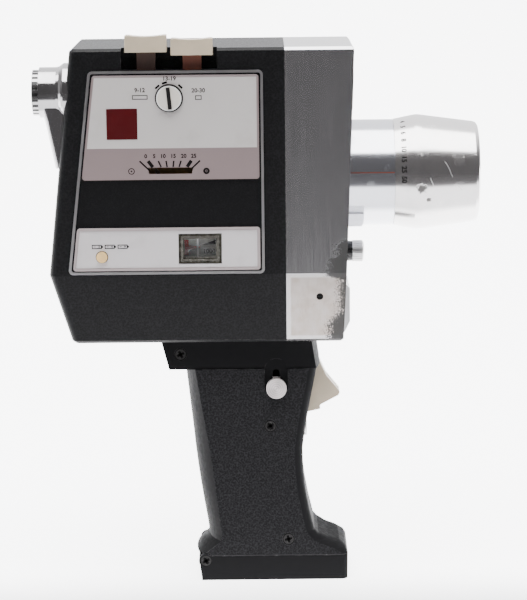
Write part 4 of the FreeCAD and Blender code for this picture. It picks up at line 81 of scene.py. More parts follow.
class Graph:
    """Short calls for building one node tree."""

    def __init__(self, tree: bpy.types.NodeTree) -> None:
        """Keeps the tree that the calls add to."""
        self.tree = tree

    def node(self, kind: str, inputs: dict | None = None, **settings: object) -> bpy.types.Node:
        """Adds a node.

        Args:
            kind: Blender's type name of the node.
            inputs: value or source socket for each input, by name or number.
            settings: attributes of the node.

        Returns:
            The new node.
        """
        made = self.tree.nodes.new(kind)
        for name, value in settings.items():
            setattr(made, name, value)
        for key, value in (inputs or {}).items():
            self.feed(made.inputs[key], value)
        return made

    def feed(self, socket: Socket, value: object) -> None:
        """Links a source socket to an input, or sets the input's own value."""
        if isinstance(value, bpy.types.NodeSocket):
            self.tree.links.new(value, socket)
        elif socket.type == "RGBA" and len(value) == 3:
            socket.default_value = (*value, 1.0)
        else:
            socket.default_value = value

    def place(self) -> Socket:
        """Object coordinates, in metres."""
        return self.node("ShaderNodeTexCoord").outputs["Object"]

    def axes(self, vector: Socket | None = None) -> list[Socket]:
        """The three parts of a vector, by default of the place."""
        source = vector if vector is not None else self.place()
        return list(self.node("ShaderNodeSeparateXYZ", {0: source}).outputs)

    def sum(self, operation: str, first: object, second: object = 0.0, clamp: bool = False) -> Socket:
        """One step of arithmetic."""
        return self.node("ShaderNodeMath", {0: first, 1: second}, operation=operation,
                         use_clamp=clamp).outputs[0]

    def times(self, first: object, second: object, clamp: bool = False) -> Socket:
        """One value times another."""
        return self.sum("MULTIPLY", first, second, clamp)

    def plus(self, first: object, second: object) -> Socket:
        """Two values together."""
        return self.sum("ADD", first, second)

    def minus(self, first: object, second: object) -> Socket:
        """The first value less the second."""
        return self.sum("SUBTRACT", first, second)

    def mix(self, factor: object, first: object, second: object) -> Socket:
        """A blend of two colours."""
        made = self.node("ShaderNodeMix", data_type="RGBA")
        self.feed(made.inputs[0], factor)
        self.feed(made.inputs[6], first)
        self.feed(made.inputs[7], second)
        return made.outputs[2]

    def noise(self, scale: object, detail: float = 2.0, vector: Socket | None = None,
              roughness: float = 0.5, distortion: float = 0.0) -> Socket:
        """Noise between 0 and 1 at a place."""
        source = vector if vector is not None else self.place()
        return self.node("ShaderNodeTexNoise", {"Vector": source, "Scale": scale, "Detail": detail,
                                                "Roughness": roughness, "Distortion": distortion}).outputs[0]

    def stray(self, reach: float, scale: float, detail: float = 2.0, roughness: float = 0.5) -> Socket:
        """Noise that strays by up to half a reach to each side of zero."""
        return self.times(self.minus(self.noise(scale, detail, roughness=roughness), 0.5), reach)

    def stretch(self, scale: Sequence[float]) -> Socket:
        """The place scaled differently along each axis."""
        return self.node("ShaderNodeMapping", {"Vector": self.place(), "Scale": scale}).outputs[0]

    def offsets(self, centre: Point) -> tuple[Socket, Socket, Socket]:
        """Offsets in X and Z from an axis along Y, and the distance from it."""
        x, _, z = self.axes()
        across, upward = self.minus(x, centre[0]), self.minus(z, centre[1])
        flat = self.node("ShaderNodeCombineXYZ", {0: across, 1: upward}).outputs[0]
        radius = self.node("ShaderNodeVectorMath", {0: flat}, operation="LENGTH").outputs["Value"]
        return across, upward, radius

    def ramp(self, value: object, low: float, high: float, start: float = 0.0, end: float = 1.0) -> Socket:
        """A smooth step from start to end while value goes from low to high."""
        return self.node("ShaderNodeMapRange", {0: value, 1: low, 2: high, 3: start, 4: end},
                         interpolation_type="SMOOTHSTEP").outputs[0]

    def edge(self, value: object, place: float, soft: float) -> Socket:
        """A soft step at a place, up where soft is above zero and down where it is below."""
        return self.ramp(value, place - soft, place + soft)

    def band(self, value: Socket, low: float, high: float, soft: float) -> Socket:
        """A mask that is 1 between two values."""
        rise = self.edge(value, low, soft)
        fall = self.ramp(value, high - soft, high + soft, 1.0, 0.0)
        return self.times(rise, fall)

    def group(self, tree: bpy.types.NodeTree, inputs: dict) -> bpy.types.Node:
        """Places a shared node group."""
        made = self.tree.nodes.new("ShaderNodeGroup")
        made.node_tree = tree
        for key, value in inputs.items():
            self.feed(made.inputs[key], value)
        return made


class SharedEffects:
    """Node groups that several finishes use, each built once."""

    def __init__(self) -> None:
        """Builds every group."""
        self.grain = self._grain()
        self.brushing = self._brushing()
        self.edge_wear = self._edge_wear()
        self.scratches = self._scratches()

    @staticmethod
    def _start(name: str, inputs: dict[str, tuple[str, object]], outputs: Iterable[str]) \
            -> tuple[Graph, bpy.types.Node, bpy.types.Node]:
        """Makes an empty group with named sockets.

        Args:
            name: name of the group.
            inputs: socket type and default value for each input.
            outputs: names of the number outputs.

        Returns:
            The graph, its input node and its output node.
        """
        tree = bpy.data.node_groups.new(name, "ShaderNodeTree")
        for label, (kind, value) in inputs.items():
            socket = tree.interface.new_socket(label, in_out="INPUT", socket_type=kind)
            socket.default_value = value
        for label in outputs:
            tree.interface.new_socket(label, in_out="OUTPUT", socket_type=NUMBER)
        graph = Graph(tree)
        return graph, tree.nodes.new("NodeGroupInput"), tree.nodes.new("NodeGroupOutput")

    def _grain(self) -> bpy.types.NodeTree:
        """Pebbled grain: a height and a slow shade change."""
        graph, source, result = self._start("pebbled_grain", {"Scale": (NUMBER, 1500.0)},
                                            ("Height", "Shade"))
        cells = graph.node("ShaderNodeTexVoronoi", {"Vector": graph.place(), "Scale": source.outputs[0]},
                           feature="SMOOTH_F1")
        fine = graph.noise(graph.times(source.outputs[0], 1.7), 2.0)
        height = graph.plus(graph.times(cells.outputs[0], 0.6),
                            graph.times(fine, 0.5))
        graph.feed(result.inputs[0], height)
        graph.feed(result.inputs[1], graph.noise(graph.times(source.outputs[0], 0.35), 3.0))
        return graph.tree

    def _brushing(self) -> bpy.types.NodeTree:
        """Fine parallel lines: a height and a streaky shade."""
        graph, source, result = self._start("brushed_lines",
                                            {"Stretch": (VECTOR, (2600.0, 2600.0, 40.0))},
                                            ("Height", "Shade"))
        mapped = graph.node("ShaderNodeMapping", {"Vector": graph.place()})
        graph.feed(mapped.inputs["Scale"], source.outputs[0])
        lines = graph.noise(1.0, 3.0, mapped.outputs[0], 0.6)
        broad = graph.noise(0.12, 2.0, mapped.outputs[0])
        graph.feed(result.inputs[0], lines)
        graph.feed(result.inputs[1], graph.plus(graph.times(lines, 0.5),
                                                graph.times(broad, 0.5)))
        return graph.tree

    def _edge_wear(self) -> bpy.types.NodeTree:
        """Mask of edges that are rubbed bright, broken up by noise."""
        graph, source, result = self._start("edge_wear", {"Radius": (NUMBER, 0.0004),
                                                          "Amount": (NUMBER, 1.0)}, ("Mask",))
        soft = graph.node("ShaderNodeBevel", {"Radius": source.outputs[0]}, samples=4)
        flat = graph.node("ShaderNodeNewGeometry")
        dot = graph.node("ShaderNodeVectorMath", {0: soft.outputs[0], 1: flat.outputs["Normal"]},
                         operation="DOT_PRODUCT").outputs["Value"]
        edge = graph.ramp(dot, 0.995, 0.9)
        patchy = graph.ramp(graph.noise(420.0, 3.0), 0.42, 0.62)
        worn = graph.times(graph.times(edge, patchy), source.outputs[1], True)
        graph.feed(result.inputs[0], worn)
        return graph.tree

    def _scratches(self) -> bpy.types.NodeTree:
        """Mask of thin, sparse scratches."""
        graph, source, result = self._start("scratches", {"Scale": (NUMBER, 90.0),
                                                          "Amount": (NUMBER, 1.0)}, ("Mask",))
        bent = graph.node("ShaderNodeMix", {0: 0.35}, data_type="VECTOR")
        graph.feed(bent.inputs[4], graph.place())
        graph.feed(bent.inputs[5], graph.node("ShaderNodeTexNoise", {"Vector": graph.place(), "Scale": 60.0})
                   .outputs[1])
        cells = graph.node("ShaderNodeTexVoronoi", {"Vector": bent.outputs[1], "Scale": source.outputs[0]},
                           feature="DISTANCE_TO_EDGE")
        thin = graph.ramp(cells.outputs[0], 0.0, 0.012, 1.0, 0.0)
        sparse = graph.ramp(graph.noise(130.0, 1.0), 0.6, 0.68)
        graph.feed(result.inputs[0], graph.times(graph.times(thin, sparse),
                                                 source.outputs[1], True))
        return graph.tree


# Finishes

@dataclass(frozen=True)
class Finish:
    """A finish with one colour, the base of the others."""

    name: str
    colour: Colour
    roughness: float = 0.4
    metallic: float = 0.0
    specular: float = 0.5

    def start(self) -> tuple[bpy.types.Material, Graph, bpy.types.Node]:
        """Makes the material with its shader and the values that are the same all over.

        Returns:
            The material, its graph and its shader node.
        """
        material = bpy.data.materials.new(self.name)
        material.use_nodes = True
        graph = Graph(material.node_tree)
        shader = material.node_tree.nodes["Principled BSDF"]
        shader.inputs["Base Color"].default_value = (*self.colour, 1.0)
        shader.inputs["Roughness"].default_value = self.roughness
        shader.inputs["Metallic"].default_value = self.metallic
        shader.inputs["Specular IOR Level"].default_value = self.specular
        return material, graph, shader

    def tone(self, share: float) -> Colour:
        """The finish's colour made darker or lighter."""
        return tuple(share * part for part in self.colour)

    def gloss(self, graph: Graph, value: Socket, least: float = 0.85, most: float = 1.15) -> Socket:
        """Roughness that goes with a noise from a least to a greatest share of the finish's own."""
        return graph.ramp(value, *NOISE_RANGE, self.roughness * least, self.roughness * most)

    @staticmethod
    def rubbed(graph: Graph, effects: SharedEffects, radius: float, amount: float) -> Socket:
        """Mask of the edges that are rubbed bright."""
        return graph.group(effects.edge_wear, {"Radius": radius, "Amount": amount}).outputs["Mask"]

    @staticmethod
    def dress(graph: Graph, shader: bpy.types.Node, colour: Socket, roughness: Socket, height: Socket,
              depth: float) -> None:
        """Feeds a shader.

        Args:
            graph: the material's graph.
            shader: its shader node.
            colour: colour at each place.
            roughness: roughness at each place.
            height: height at each place, as a share of the depth.
            depth: depth of the relief, in metres.
        """
        graph.feed(shader.inputs["Base Color"], colour)
        graph.feed(shader.inputs["Roughness"], roughness)
        bump = graph.node("ShaderNodeBump", {"Strength": 1.0, "Distance": depth, "Height": height})
        graph.feed(shader.inputs["Normal"], bump.outputs[0])

    def material(self, effects: SharedEffects) -> bpy.types.Material:
        """Faint unevenness in colour and gloss, the least that every finish has."""
        material, graph, shader = self.start()
        cloud = graph.ramp(graph.noise(180.0, 4.0), *NOISE_RANGE)
        self.dress(graph, shader, graph.mix(cloud, self.tone(0.8), self.colour),
                   self.gloss(graph, graph.noise(900.0, 3.0)), graph.noise(2200.0, 2.0), 0.00002)
        return material


@dataclass(frozen=True)
class GrainedPaint(Finish):
    """Wrinkle paint or moulded grain with rubbed edges."""

    specular: float = 0.13
    grain_scale: float = 1500.0
    grain_depth: float = 0.00006
    worn: Colour = (0.2, 0.2, 0.2)
    wear: float = 0.5
    wear_radius: float = 0.0005
    speckle: float = 2.6

    def material(self, effects: SharedEffects) -> bpy.types.Material:
        """Grain in height, shade and gloss, and worn edges."""
        material, graph, shader = self.start()
        grain = graph.group(effects.grain, {"Scale": self.grain_scale}).outputs["Height"]
        speckled = graph.mix(graph.ramp(grain, *SPECKLE_RANGE), self.colour, self.tone(self.speckle))
        worn = self.rubbed(graph, effects, self.wear_radius, self.wear)
        rough = graph.ramp(grain, 0.2, 0.8, self.roughness * 1.15, self.roughness * 0.85)
        self.dress(graph, shader, graph.mix(worn, speckled, self.worn), rough, grain, self.grain_depth)
        return material


@dataclass(frozen=True)
class BrushedMetal(Finish):
    """Metal with parallel lines.

    With the stain switched on, its front edge is corroded, and the facet below its fold is tinted warm and
    darker, a painted reflection of the table, most strongly in a framed, mottled field. Places are in
    metres.
    """

    metallic: float = 1.0
    lines: Axis = Axis.UPRIGHT
    line_depth: float = 0.0000007
    streaks: float = 0.9
    stain_and_reflection: bool = False
    fold: float = 0.131
    table_reflection_tint: Colour = (0.56, 0.49, 0.43)
    field_x: Point = (0.0080, 0.0092)
    field_z: Point = (0.1052, 0.1299)
    margin_share: float = 0.25
    crease: Point = (0.0315, 0.1314)
    edge_lean: float = 0.045
    stain_colour: Colour = shade(34, 33, 32)
    stain_low: Four = (0.1155, 0.1105, 0.0024, 0.0062)
    stain_bands: tuple[Four, ...] = ((0.1295, 0.1375, 0.0012, 0.0056), (0.1375, 0.1445, 0.002, 0.0024))
    stain_high: Four = (0.142, 0.150, 0.0, -0.007)
    ragged_reach: float = 0.011
    grain_reach: float = 0.016
    stain_soft: Point = (-0.001, 0.0022)
    near_side: Point = (-0.0228, -0.0242)

    def material(self, effects: SharedEffects) -> bpy.types.Material:
        """Streaks in colour, gloss and height, and the stain where there is one."""
        material, graph, shader = self.start()
        lines = graph.group(effects.brushing, {"Stretch": self.lines.value})
        dull = self.tone(self.streaks)
        colour = graph.mix(graph.ramp(lines.outputs["Shade"], *NOISE_RANGE), dull, self.colour)
        cloud = graph.ramp(graph.noise(70.0, 4.0), 0.45, 0.75, 0.0, 0.35)
        colour = graph.mix(cloud, colour, dull)
        rough = self.gloss(graph, lines.outputs["Height"], 0.9, 1.12)
        if self.stain_and_reflection:
            streaked = graph.noise(1.0, 2.0, graph.stretch((520.0, 520.0, 14.0)))
            colour = graph.mix(graph.ramp(streaked, 0.35, 0.65, 0.0, 0.5), colour, dull)
            # Painted reflection: below the fold the metal is tinted warm and darker, as the table shows in
            # it, most strongly inside the framed field.
            tinted = tuple(part * tint for part, tint in zip(self.colour, self.table_reflection_tint))
            colour = graph.mix(self._table_reflection(graph), colour, tinted)
            stain = self._stain(graph)
            solid = graph.times(stain, 2.5, True)
            colour = graph.mix(graph.times(solid, 0.95), colour, self.stain_colour)
            rough = graph.plus(rough, graph.times(stain, 0.12))
            graph.feed(shader.inputs["Metallic"], graph.minus(1.0, graph.times(solid, 0.8)))
        self.dress(graph, shader, colour, rough, lines.outputs["Height"], self.line_depth)
        return material

    def _table_reflection(self, graph: Graph) -> Socket:
        """Mask of the painted table reflection on the facet below the fold: weak in the margin, strongest in
        a mottled, framed field.
        """
        x, _, z = graph.axes()
        framed = graph.times(graph.ramp(x, *self.field_x), graph.band(z, *self.field_z, 0.0006))
        mottled = graph.ramp(graph.noise(240.0, 4.0), *NOISE_RANGE, 0.75, 1.0)
        share = graph.sum("MAXIMUM", graph.times(framed, mottled), self.margin_share)
        return graph.times(share, graph.edge(z, self.fold, -0.0002))

    def _stain(self, graph: Graph) -> Socket:
        """Mask of ragged corrosion along the front edge of the near side, widest where the face folds."""
        x, y, z = graph.axes()
        front = graph.plus(self.crease[0], graph.times(graph.minus(z, self.crease[1]), self.edge_lean))
        inward = graph.minus(front, x)
        width = graph.ramp(z, *self.stain_low)
        for low, high, soft, reach in self.stain_bands:
            width = graph.plus(width, graph.times(graph.band(z, low, high, soft), reach))
        width = graph.plus(width, graph.ramp(z, *self.stain_high))
        ragged = graph.stray(self.ragged_reach, 900.0, 6.0, 0.8)
        grains = graph.stray(self.grain_reach, 2400.0, 3.0, 0.7)
        inside = graph.plus(graph.plus(graph.minus(width, inward), ragged), grains)
        return graph.times(graph.ramp(inside, *self.stain_soft), graph.ramp(y, *self.near_side))


@dataclass(frozen=True)
class TurnedFace(Finish):
    """Bright metal with fine rings turned about an axis along Y."""

    metallic: float = 0.6
    centre: Point = (0.0026, 0.0822)
    ring_pitch: float = 0.00085
    ring_depth: float = 0.000012
    painted_shade_share: float = 0.55

    def material(self, effects: SharedEffects) -> bpy.types.Material:
        """Rings in height, with painted shade in their troughs and painted sectors of reflected light and
        dark, as turned metal shows them.
        """
        material, graph, shader = self.start()
        across, upward, radius = graph.offsets(self.centre)
        rings = graph.sum("SINE", graph.times(radius, math.tau / self.ring_pitch))
        # Painted reflection: the sectors of light and dark, and the darker ring troughs, are painted into
        # the colour.
        angle = graph.sum("ARCTAN2", upward, across)
        fan = graph.ramp(graph.sum("SINE", graph.times(angle, 2.0)), -1.0, 1.0, 0.0, 0.45)
        dark = graph.plus(fan, graph.ramp(rings, -1.0, 1.0, 0.0, 0.5))
        rough = graph.ramp(rings, -1.0, 1.0, self.roughness * 0.85, self.roughness * 1.15)
        self.dress(graph, shader, graph.mix(dark, self.colour, self.tone(self.painted_shade_share)), rough, rings,
                   self.ring_depth)
        return material


@dataclass(frozen=True)
class DialFace(Finish):
    """Pale satin dial with a bright rim and a black bar across it."""

    metallic: float = 0.15
    centre: Point = (-0.0391, 0.2029)
    rim_radius: float = 0.0046
    bar_half: float = 0.00078
    bar_reach: float = 0.0044
    bar_tilt: float = 5.4
    bar_soft: float = 0.00004
    face_y: float = -0.0299
    soft: float = 0.0001
    rim: Colour = (0.75, 0.75, 0.74)
    edge: Colour = (0.03, 0.03, 0.03)
    bar: Colour = shade(18, 15, 15)

    def material(self, effects: SharedEffects) -> bpy.types.Material:
        """Face, rim, bar and a flank painted dark as shade round the face, told apart by place."""
        material, graph, shader = self.start()
        _, y, _ = graph.axes()
        across, upward, radius = graph.offsets(self.centre)
        cosine, sine = math.cos(math.radians(self.bar_tilt)), math.sin(math.radians(self.bar_tilt))
        sideways = graph.plus(graph.times(across, cosine), graph.times(upward, sine))
        along = graph.minus(graph.times(upward, cosine), graph.times(across, sine))
        bar = graph.times(graph.band(sideways, -self.bar_half, self.bar_half, self.bar_soft),
                          graph.band(along, -self.bar_reach, self.bar_reach, self.bar_soft))
        colour = graph.mix(graph.edge(radius, self.rim_radius, self.soft), self.colour, self.rim)
        colour = graph.mix(bar, colour, self.bar)
        # Painted shade: everything behind the face's plane is painted near black.
        colour = graph.mix(graph.edge(y, self.face_y, self.soft), colour, self.edge)
        self.dress(graph, shader, colour, self.gloss(graph, graph.noise(1500.0, 3.0)),
                   graph.noise(2600.0, 2.0), 0.00001)
        return material


@dataclass(frozen=True)
class PolishedMetal(Finish):
    """Bright metal with scratches, dents and a faint haze."""

    metallic: float = 1.0
    scratch_scale: float = 90.0
    haze: Colour = (0.55, 0.55, 0.56)
    dents: tuple[Four, ...] = ()
    scores: tuple[Four, ...] = ()
    worn_to: Point = (-1.0, -1.0)
    pit_colour: Colour = shade(40, 37, 34)
    score_colour: Colour = (0.95, 0.95, 0.95)
    score_half: float = 0.00005

    def material(self, effects: SharedEffects) -> bpy.types.Material:
        """Haze and scratches in colour and gloss, dents, single scores, and a matt part low at the rear."""
        material, graph, shader = self.start()
        scratched = graph.group(effects.scratches, {"Scale": self.scratch_scale, "Amount": 0.6}).outputs[0]
        cloud = graph.ramp(graph.noise(160.0, 5.0, roughness=0.65), 0.45, 0.8, 0.0, 0.5)
        colour = graph.mix(cloud, self.colour, self.haze)
        rough = graph.plus(graph.ramp(cloud, 0.0, 1.0, self.roughness, self.roughness + 0.12),
                           graph.times(scratched, 0.4))
        height = graph.times(scratched, -0.3)
        place = graph.place()
        for x, y, z, radius in self.dents:
            near = graph.node("ShaderNodeVectorMath", {0: place, 1: (x, y, z)}, operation="DISTANCE")
            ragged = graph.plus(near.outputs["Value"], graph.stray(radius * 2.4, 1100.0, 4.0))
            pit = graph.ramp(ragged, radius * 0.75, radius * 1.25, 1.0, 0.0)
            height = graph.minus(height, graph.times(pit, 3.0))
            colour = graph.mix(graph.times(pit, 0.85), colour, self.pit_colour)
            rough = graph.plus(rough, graph.times(pit, 0.3))
        for score in self.scores:
            line = self._score(graph, score)
            colour = graph.mix(line, colour, self.score_colour)
            rough = graph.plus(rough, graph.times(line, 0.5))
        x, _, z = graph.axes()
        matt = graph.times(graph.ramp(x, self.worn_to[0] + 0.0002, self.worn_to[0]),
                           graph.ramp(z, self.worn_to[1] + 0.0006, self.worn_to[1]))
        self.dress(graph, shader, colour, graph.plus(rough, graph.times(matt, 0.6)), height, 0.00006)
        return material

    def _score(self, graph: Graph, score: Four) -> Socket:
        """Mask of one thin scratch from a first X and Z to a second, on the near side."""
        x, y, z = graph.axes()
        start = Vector((score[0], score[1]))
        reach = Vector((score[2], score[3])) - start
        along = reach.normalized()
        across_x, across_z = graph.minus(x, start.x), graph.minus(z, start.y)
        run = graph.plus(graph.times(across_x, along.x), graph.times(across_z, along.y))
        aside = graph.minus(graph.times(across_x, along.y), graph.times(across_z, along.x))
        wavy = graph.plus(aside, graph.stray(0.0012, 260.0))
        line = graph.times(graph.band(wavy, -self.score_half, self.score_half, self.score_half),
                           graph.band(run, 0.0, reach.length, 0.0003))
        return graph.times(line, graph.ramp(y, 0.0, -0.002))


@dataclass(frozen=True)
class Moulded(Finish):
    """Smooth moulded plastic, paler along its rubbed edges."""

    worn: Colour = (0.5, 0.5, 0.5)
    wear: float = 0.6
    wear_radius: float = 0.0004
    mottle: float = 0.15

    def material(self, effects: SharedEffects) -> bpy.types.Material:
        """Soft mottling and worn edges."""
        material, graph, shader = self.start()
        mottled = graph.ramp(graph.noise(140.0, 4.0), 0.35, 0.7)
        colour = graph.mix(mottled, self.tone(1 - self.mottle), self.colour)
        worn = self.rubbed(graph, effects, self.wear_radius, self.wear)
        self.dress(graph, shader, graph.mix(worn, colour, self.worn),
                   self.gloss(graph, graph.noise(700.0, 3.0), 0.8, 1.2), graph.noise(1600.0, 3.0), 0.000015)
        return material


@dataclass(frozen=True)
class GripPlastic(Moulded):
    """Black plastic, grained on the flat sides of the column and rubbed pale along the foot's seam."""

    specular: float = 0.015
    grain_from: float = 0.018
    grain_low: float = 0.0108
    grain_high: float = 0.0903
    grain_scale: float = 1500.0
    grain_depth: float = 0.00006
    speckle: float = 2.3
    seam_z: float = 0.0105

    def material(self, effects: SharedEffects) -> bpy.types.Material:
        """Grain where the hand holds it, satin elsewhere, chips along the seam."""
        material, graph, shader = self.start()
        _, y, z = graph.axes()
        side = graph.edge(graph.sum("ABSOLUTE", y), self.grain_from, 0.0001)
        held = graph.times(side, graph.band(z, self.grain_low, self.grain_high, 0.0002))
        grain = graph.group(effects.grain, {"Scale": self.grain_scale}).outputs["Height"]
        speckle = graph.times(held, graph.ramp(grain, *SPECKLE_RANGE))
        colour = graph.mix(speckle, self.colour, self.tone(self.speckle))
        chips = graph.ramp(graph.noise(420.0, 4.0, roughness=0.7), 0.56, 0.66)
        seam = graph.band(z, self.seam_z - 0.00005, self.seam_z + 0.0002, 0.00008)
        chipped = graph.times(seam, graph.ramp(chips, 0.0, 1.0, 0.35, 0.9))
        worn = self.rubbed(graph, effects, self.wear_radius, self.wear)
        colour = graph.mix(graph.sum("MAXIMUM", chipped, worn), colour, self.worn)
        rough = graph.plus(self.gloss(graph, graph.noise(700.0, 3.0)), graph.times(held, 0.08))
        height = graph.times(grain, graph.plus(held, 0.01))
        self.dress(graph, shader, colour, rough, height, self.grain_depth)
        return material


@dataclass(frozen=True)
class Glass(Finish):
    """Clear or coated glass with a little dust."""

    index: float = 1.5
    coat: float = 0.0

    def material(self, effects: SharedEffects) -> bpy.types.Material:
        """Transmission with dusty gloss."""
        material, graph, shader = self.start()
        shader.inputs["Transmission Weight"].default_value = 1.0
        shader.inputs["IOR"].default_value = self.index
        shader.inputs["Coat Weight"].default_value = self.coat
        dust = graph.ramp(graph.noise(1200.0, 4.0), 0.6, 0.8, self.roughness, self.roughness + 0.12)
        graph.feed(shader.inputs["Roughness"], dust)
        return material


@dataclass(frozen=True)
class ClearPlastic(Finish):
    """Thin clear cover that lets the light through to what is behind it."""

    cover: float = 0.1

    def material(self, effects: SharedEffects) -> bpy.types.Material:
        """Mostly see-through, with a little haze where it is scuffed."""
        material, graph, shader = self.start()
        haze = graph.ramp(graph.noise(500.0, 4.0), 0.45, 0.8, self.cover, self.cover * 2)
        graph.feed(shader.inputs["Alpha"], haze)
        graph.feed(shader.inputs["Roughness"], self.gloss(graph, graph.noise(900.0, 2.0), 0.7, 1.3))
        return material


@dataclass(frozen=True)
class PrintedPlate(Finish):
    """Satin plate with a light field between two heights, a darker band below it and tinted margins."""

    metallic: float = 0.12
    lower: Colour = shade(122, 108, 108)
    margin: Colour = shade(136, 125, 125)
    stain: Colour = shade(120, 112, 106)
    collar_shadow: Colour = shade(34, 30, 30)
    rear_low: Point = (-0.0722, 0.1829)
    rear_high: Point = (-0.0688, 0.2111)
    front_x: float = -0.0043
    soft: float = 0.0001
    collar: Point = (-0.0391, 0.2029)
    collar_shadow_radius: float = 0.00565
    line_depth: float = 0.000004

    def material(self, effects: SharedEffects) -> bpy.types.Material:
        """Fields by height, margins along the edges, faint stains, and a painted shadow round the dial's
        collar.
        """
        material, graph, shader = self.start()
        x, _, z = graph.axes()
        (low_x, low_z), (high_x, high_z) = self.rear_low, self.rear_high
        slope = (high_x - low_x) / (high_z - low_z)
        slanted = graph.minus(x, graph.times(graph.minus(z, low_z), slope))
        inside = graph.times(graph.edge(slanted, low_x, self.soft), graph.edge(x, self.front_x, -self.soft))
        light = graph.times(inside, graph.band(z, low_z, high_z, 0.00012))
        base = graph.mix(graph.ramp(z, high_z, high_z + 0.0002), self.lower, self.margin)
        colour = graph.mix(light, base, self.colour)
        stain = graph.ramp(graph.noise(95.0, 5.0, roughness=0.6), 0.5, 0.8, 0.0, 0.16)
        colour = graph.mix(stain, colour, self.stain)
        # Painted shadow: the plate is darkened in a ring round the finder dial's collar.
        _, _, radius = graph.offsets(self.collar)
        colour = graph.mix(graph.edge(radius, self.collar_shadow_radius, -0.00002), colour, self.collar_shadow)
        lines = graph.group(effects.brushing, {"Stretch": Axis.ALONG_X.value})
        self.dress(graph, shader, colour, self.gloss(graph, lines.outputs["Shade"], 0.9),
                   lines.outputs["Height"], self.line_depth)
        return material


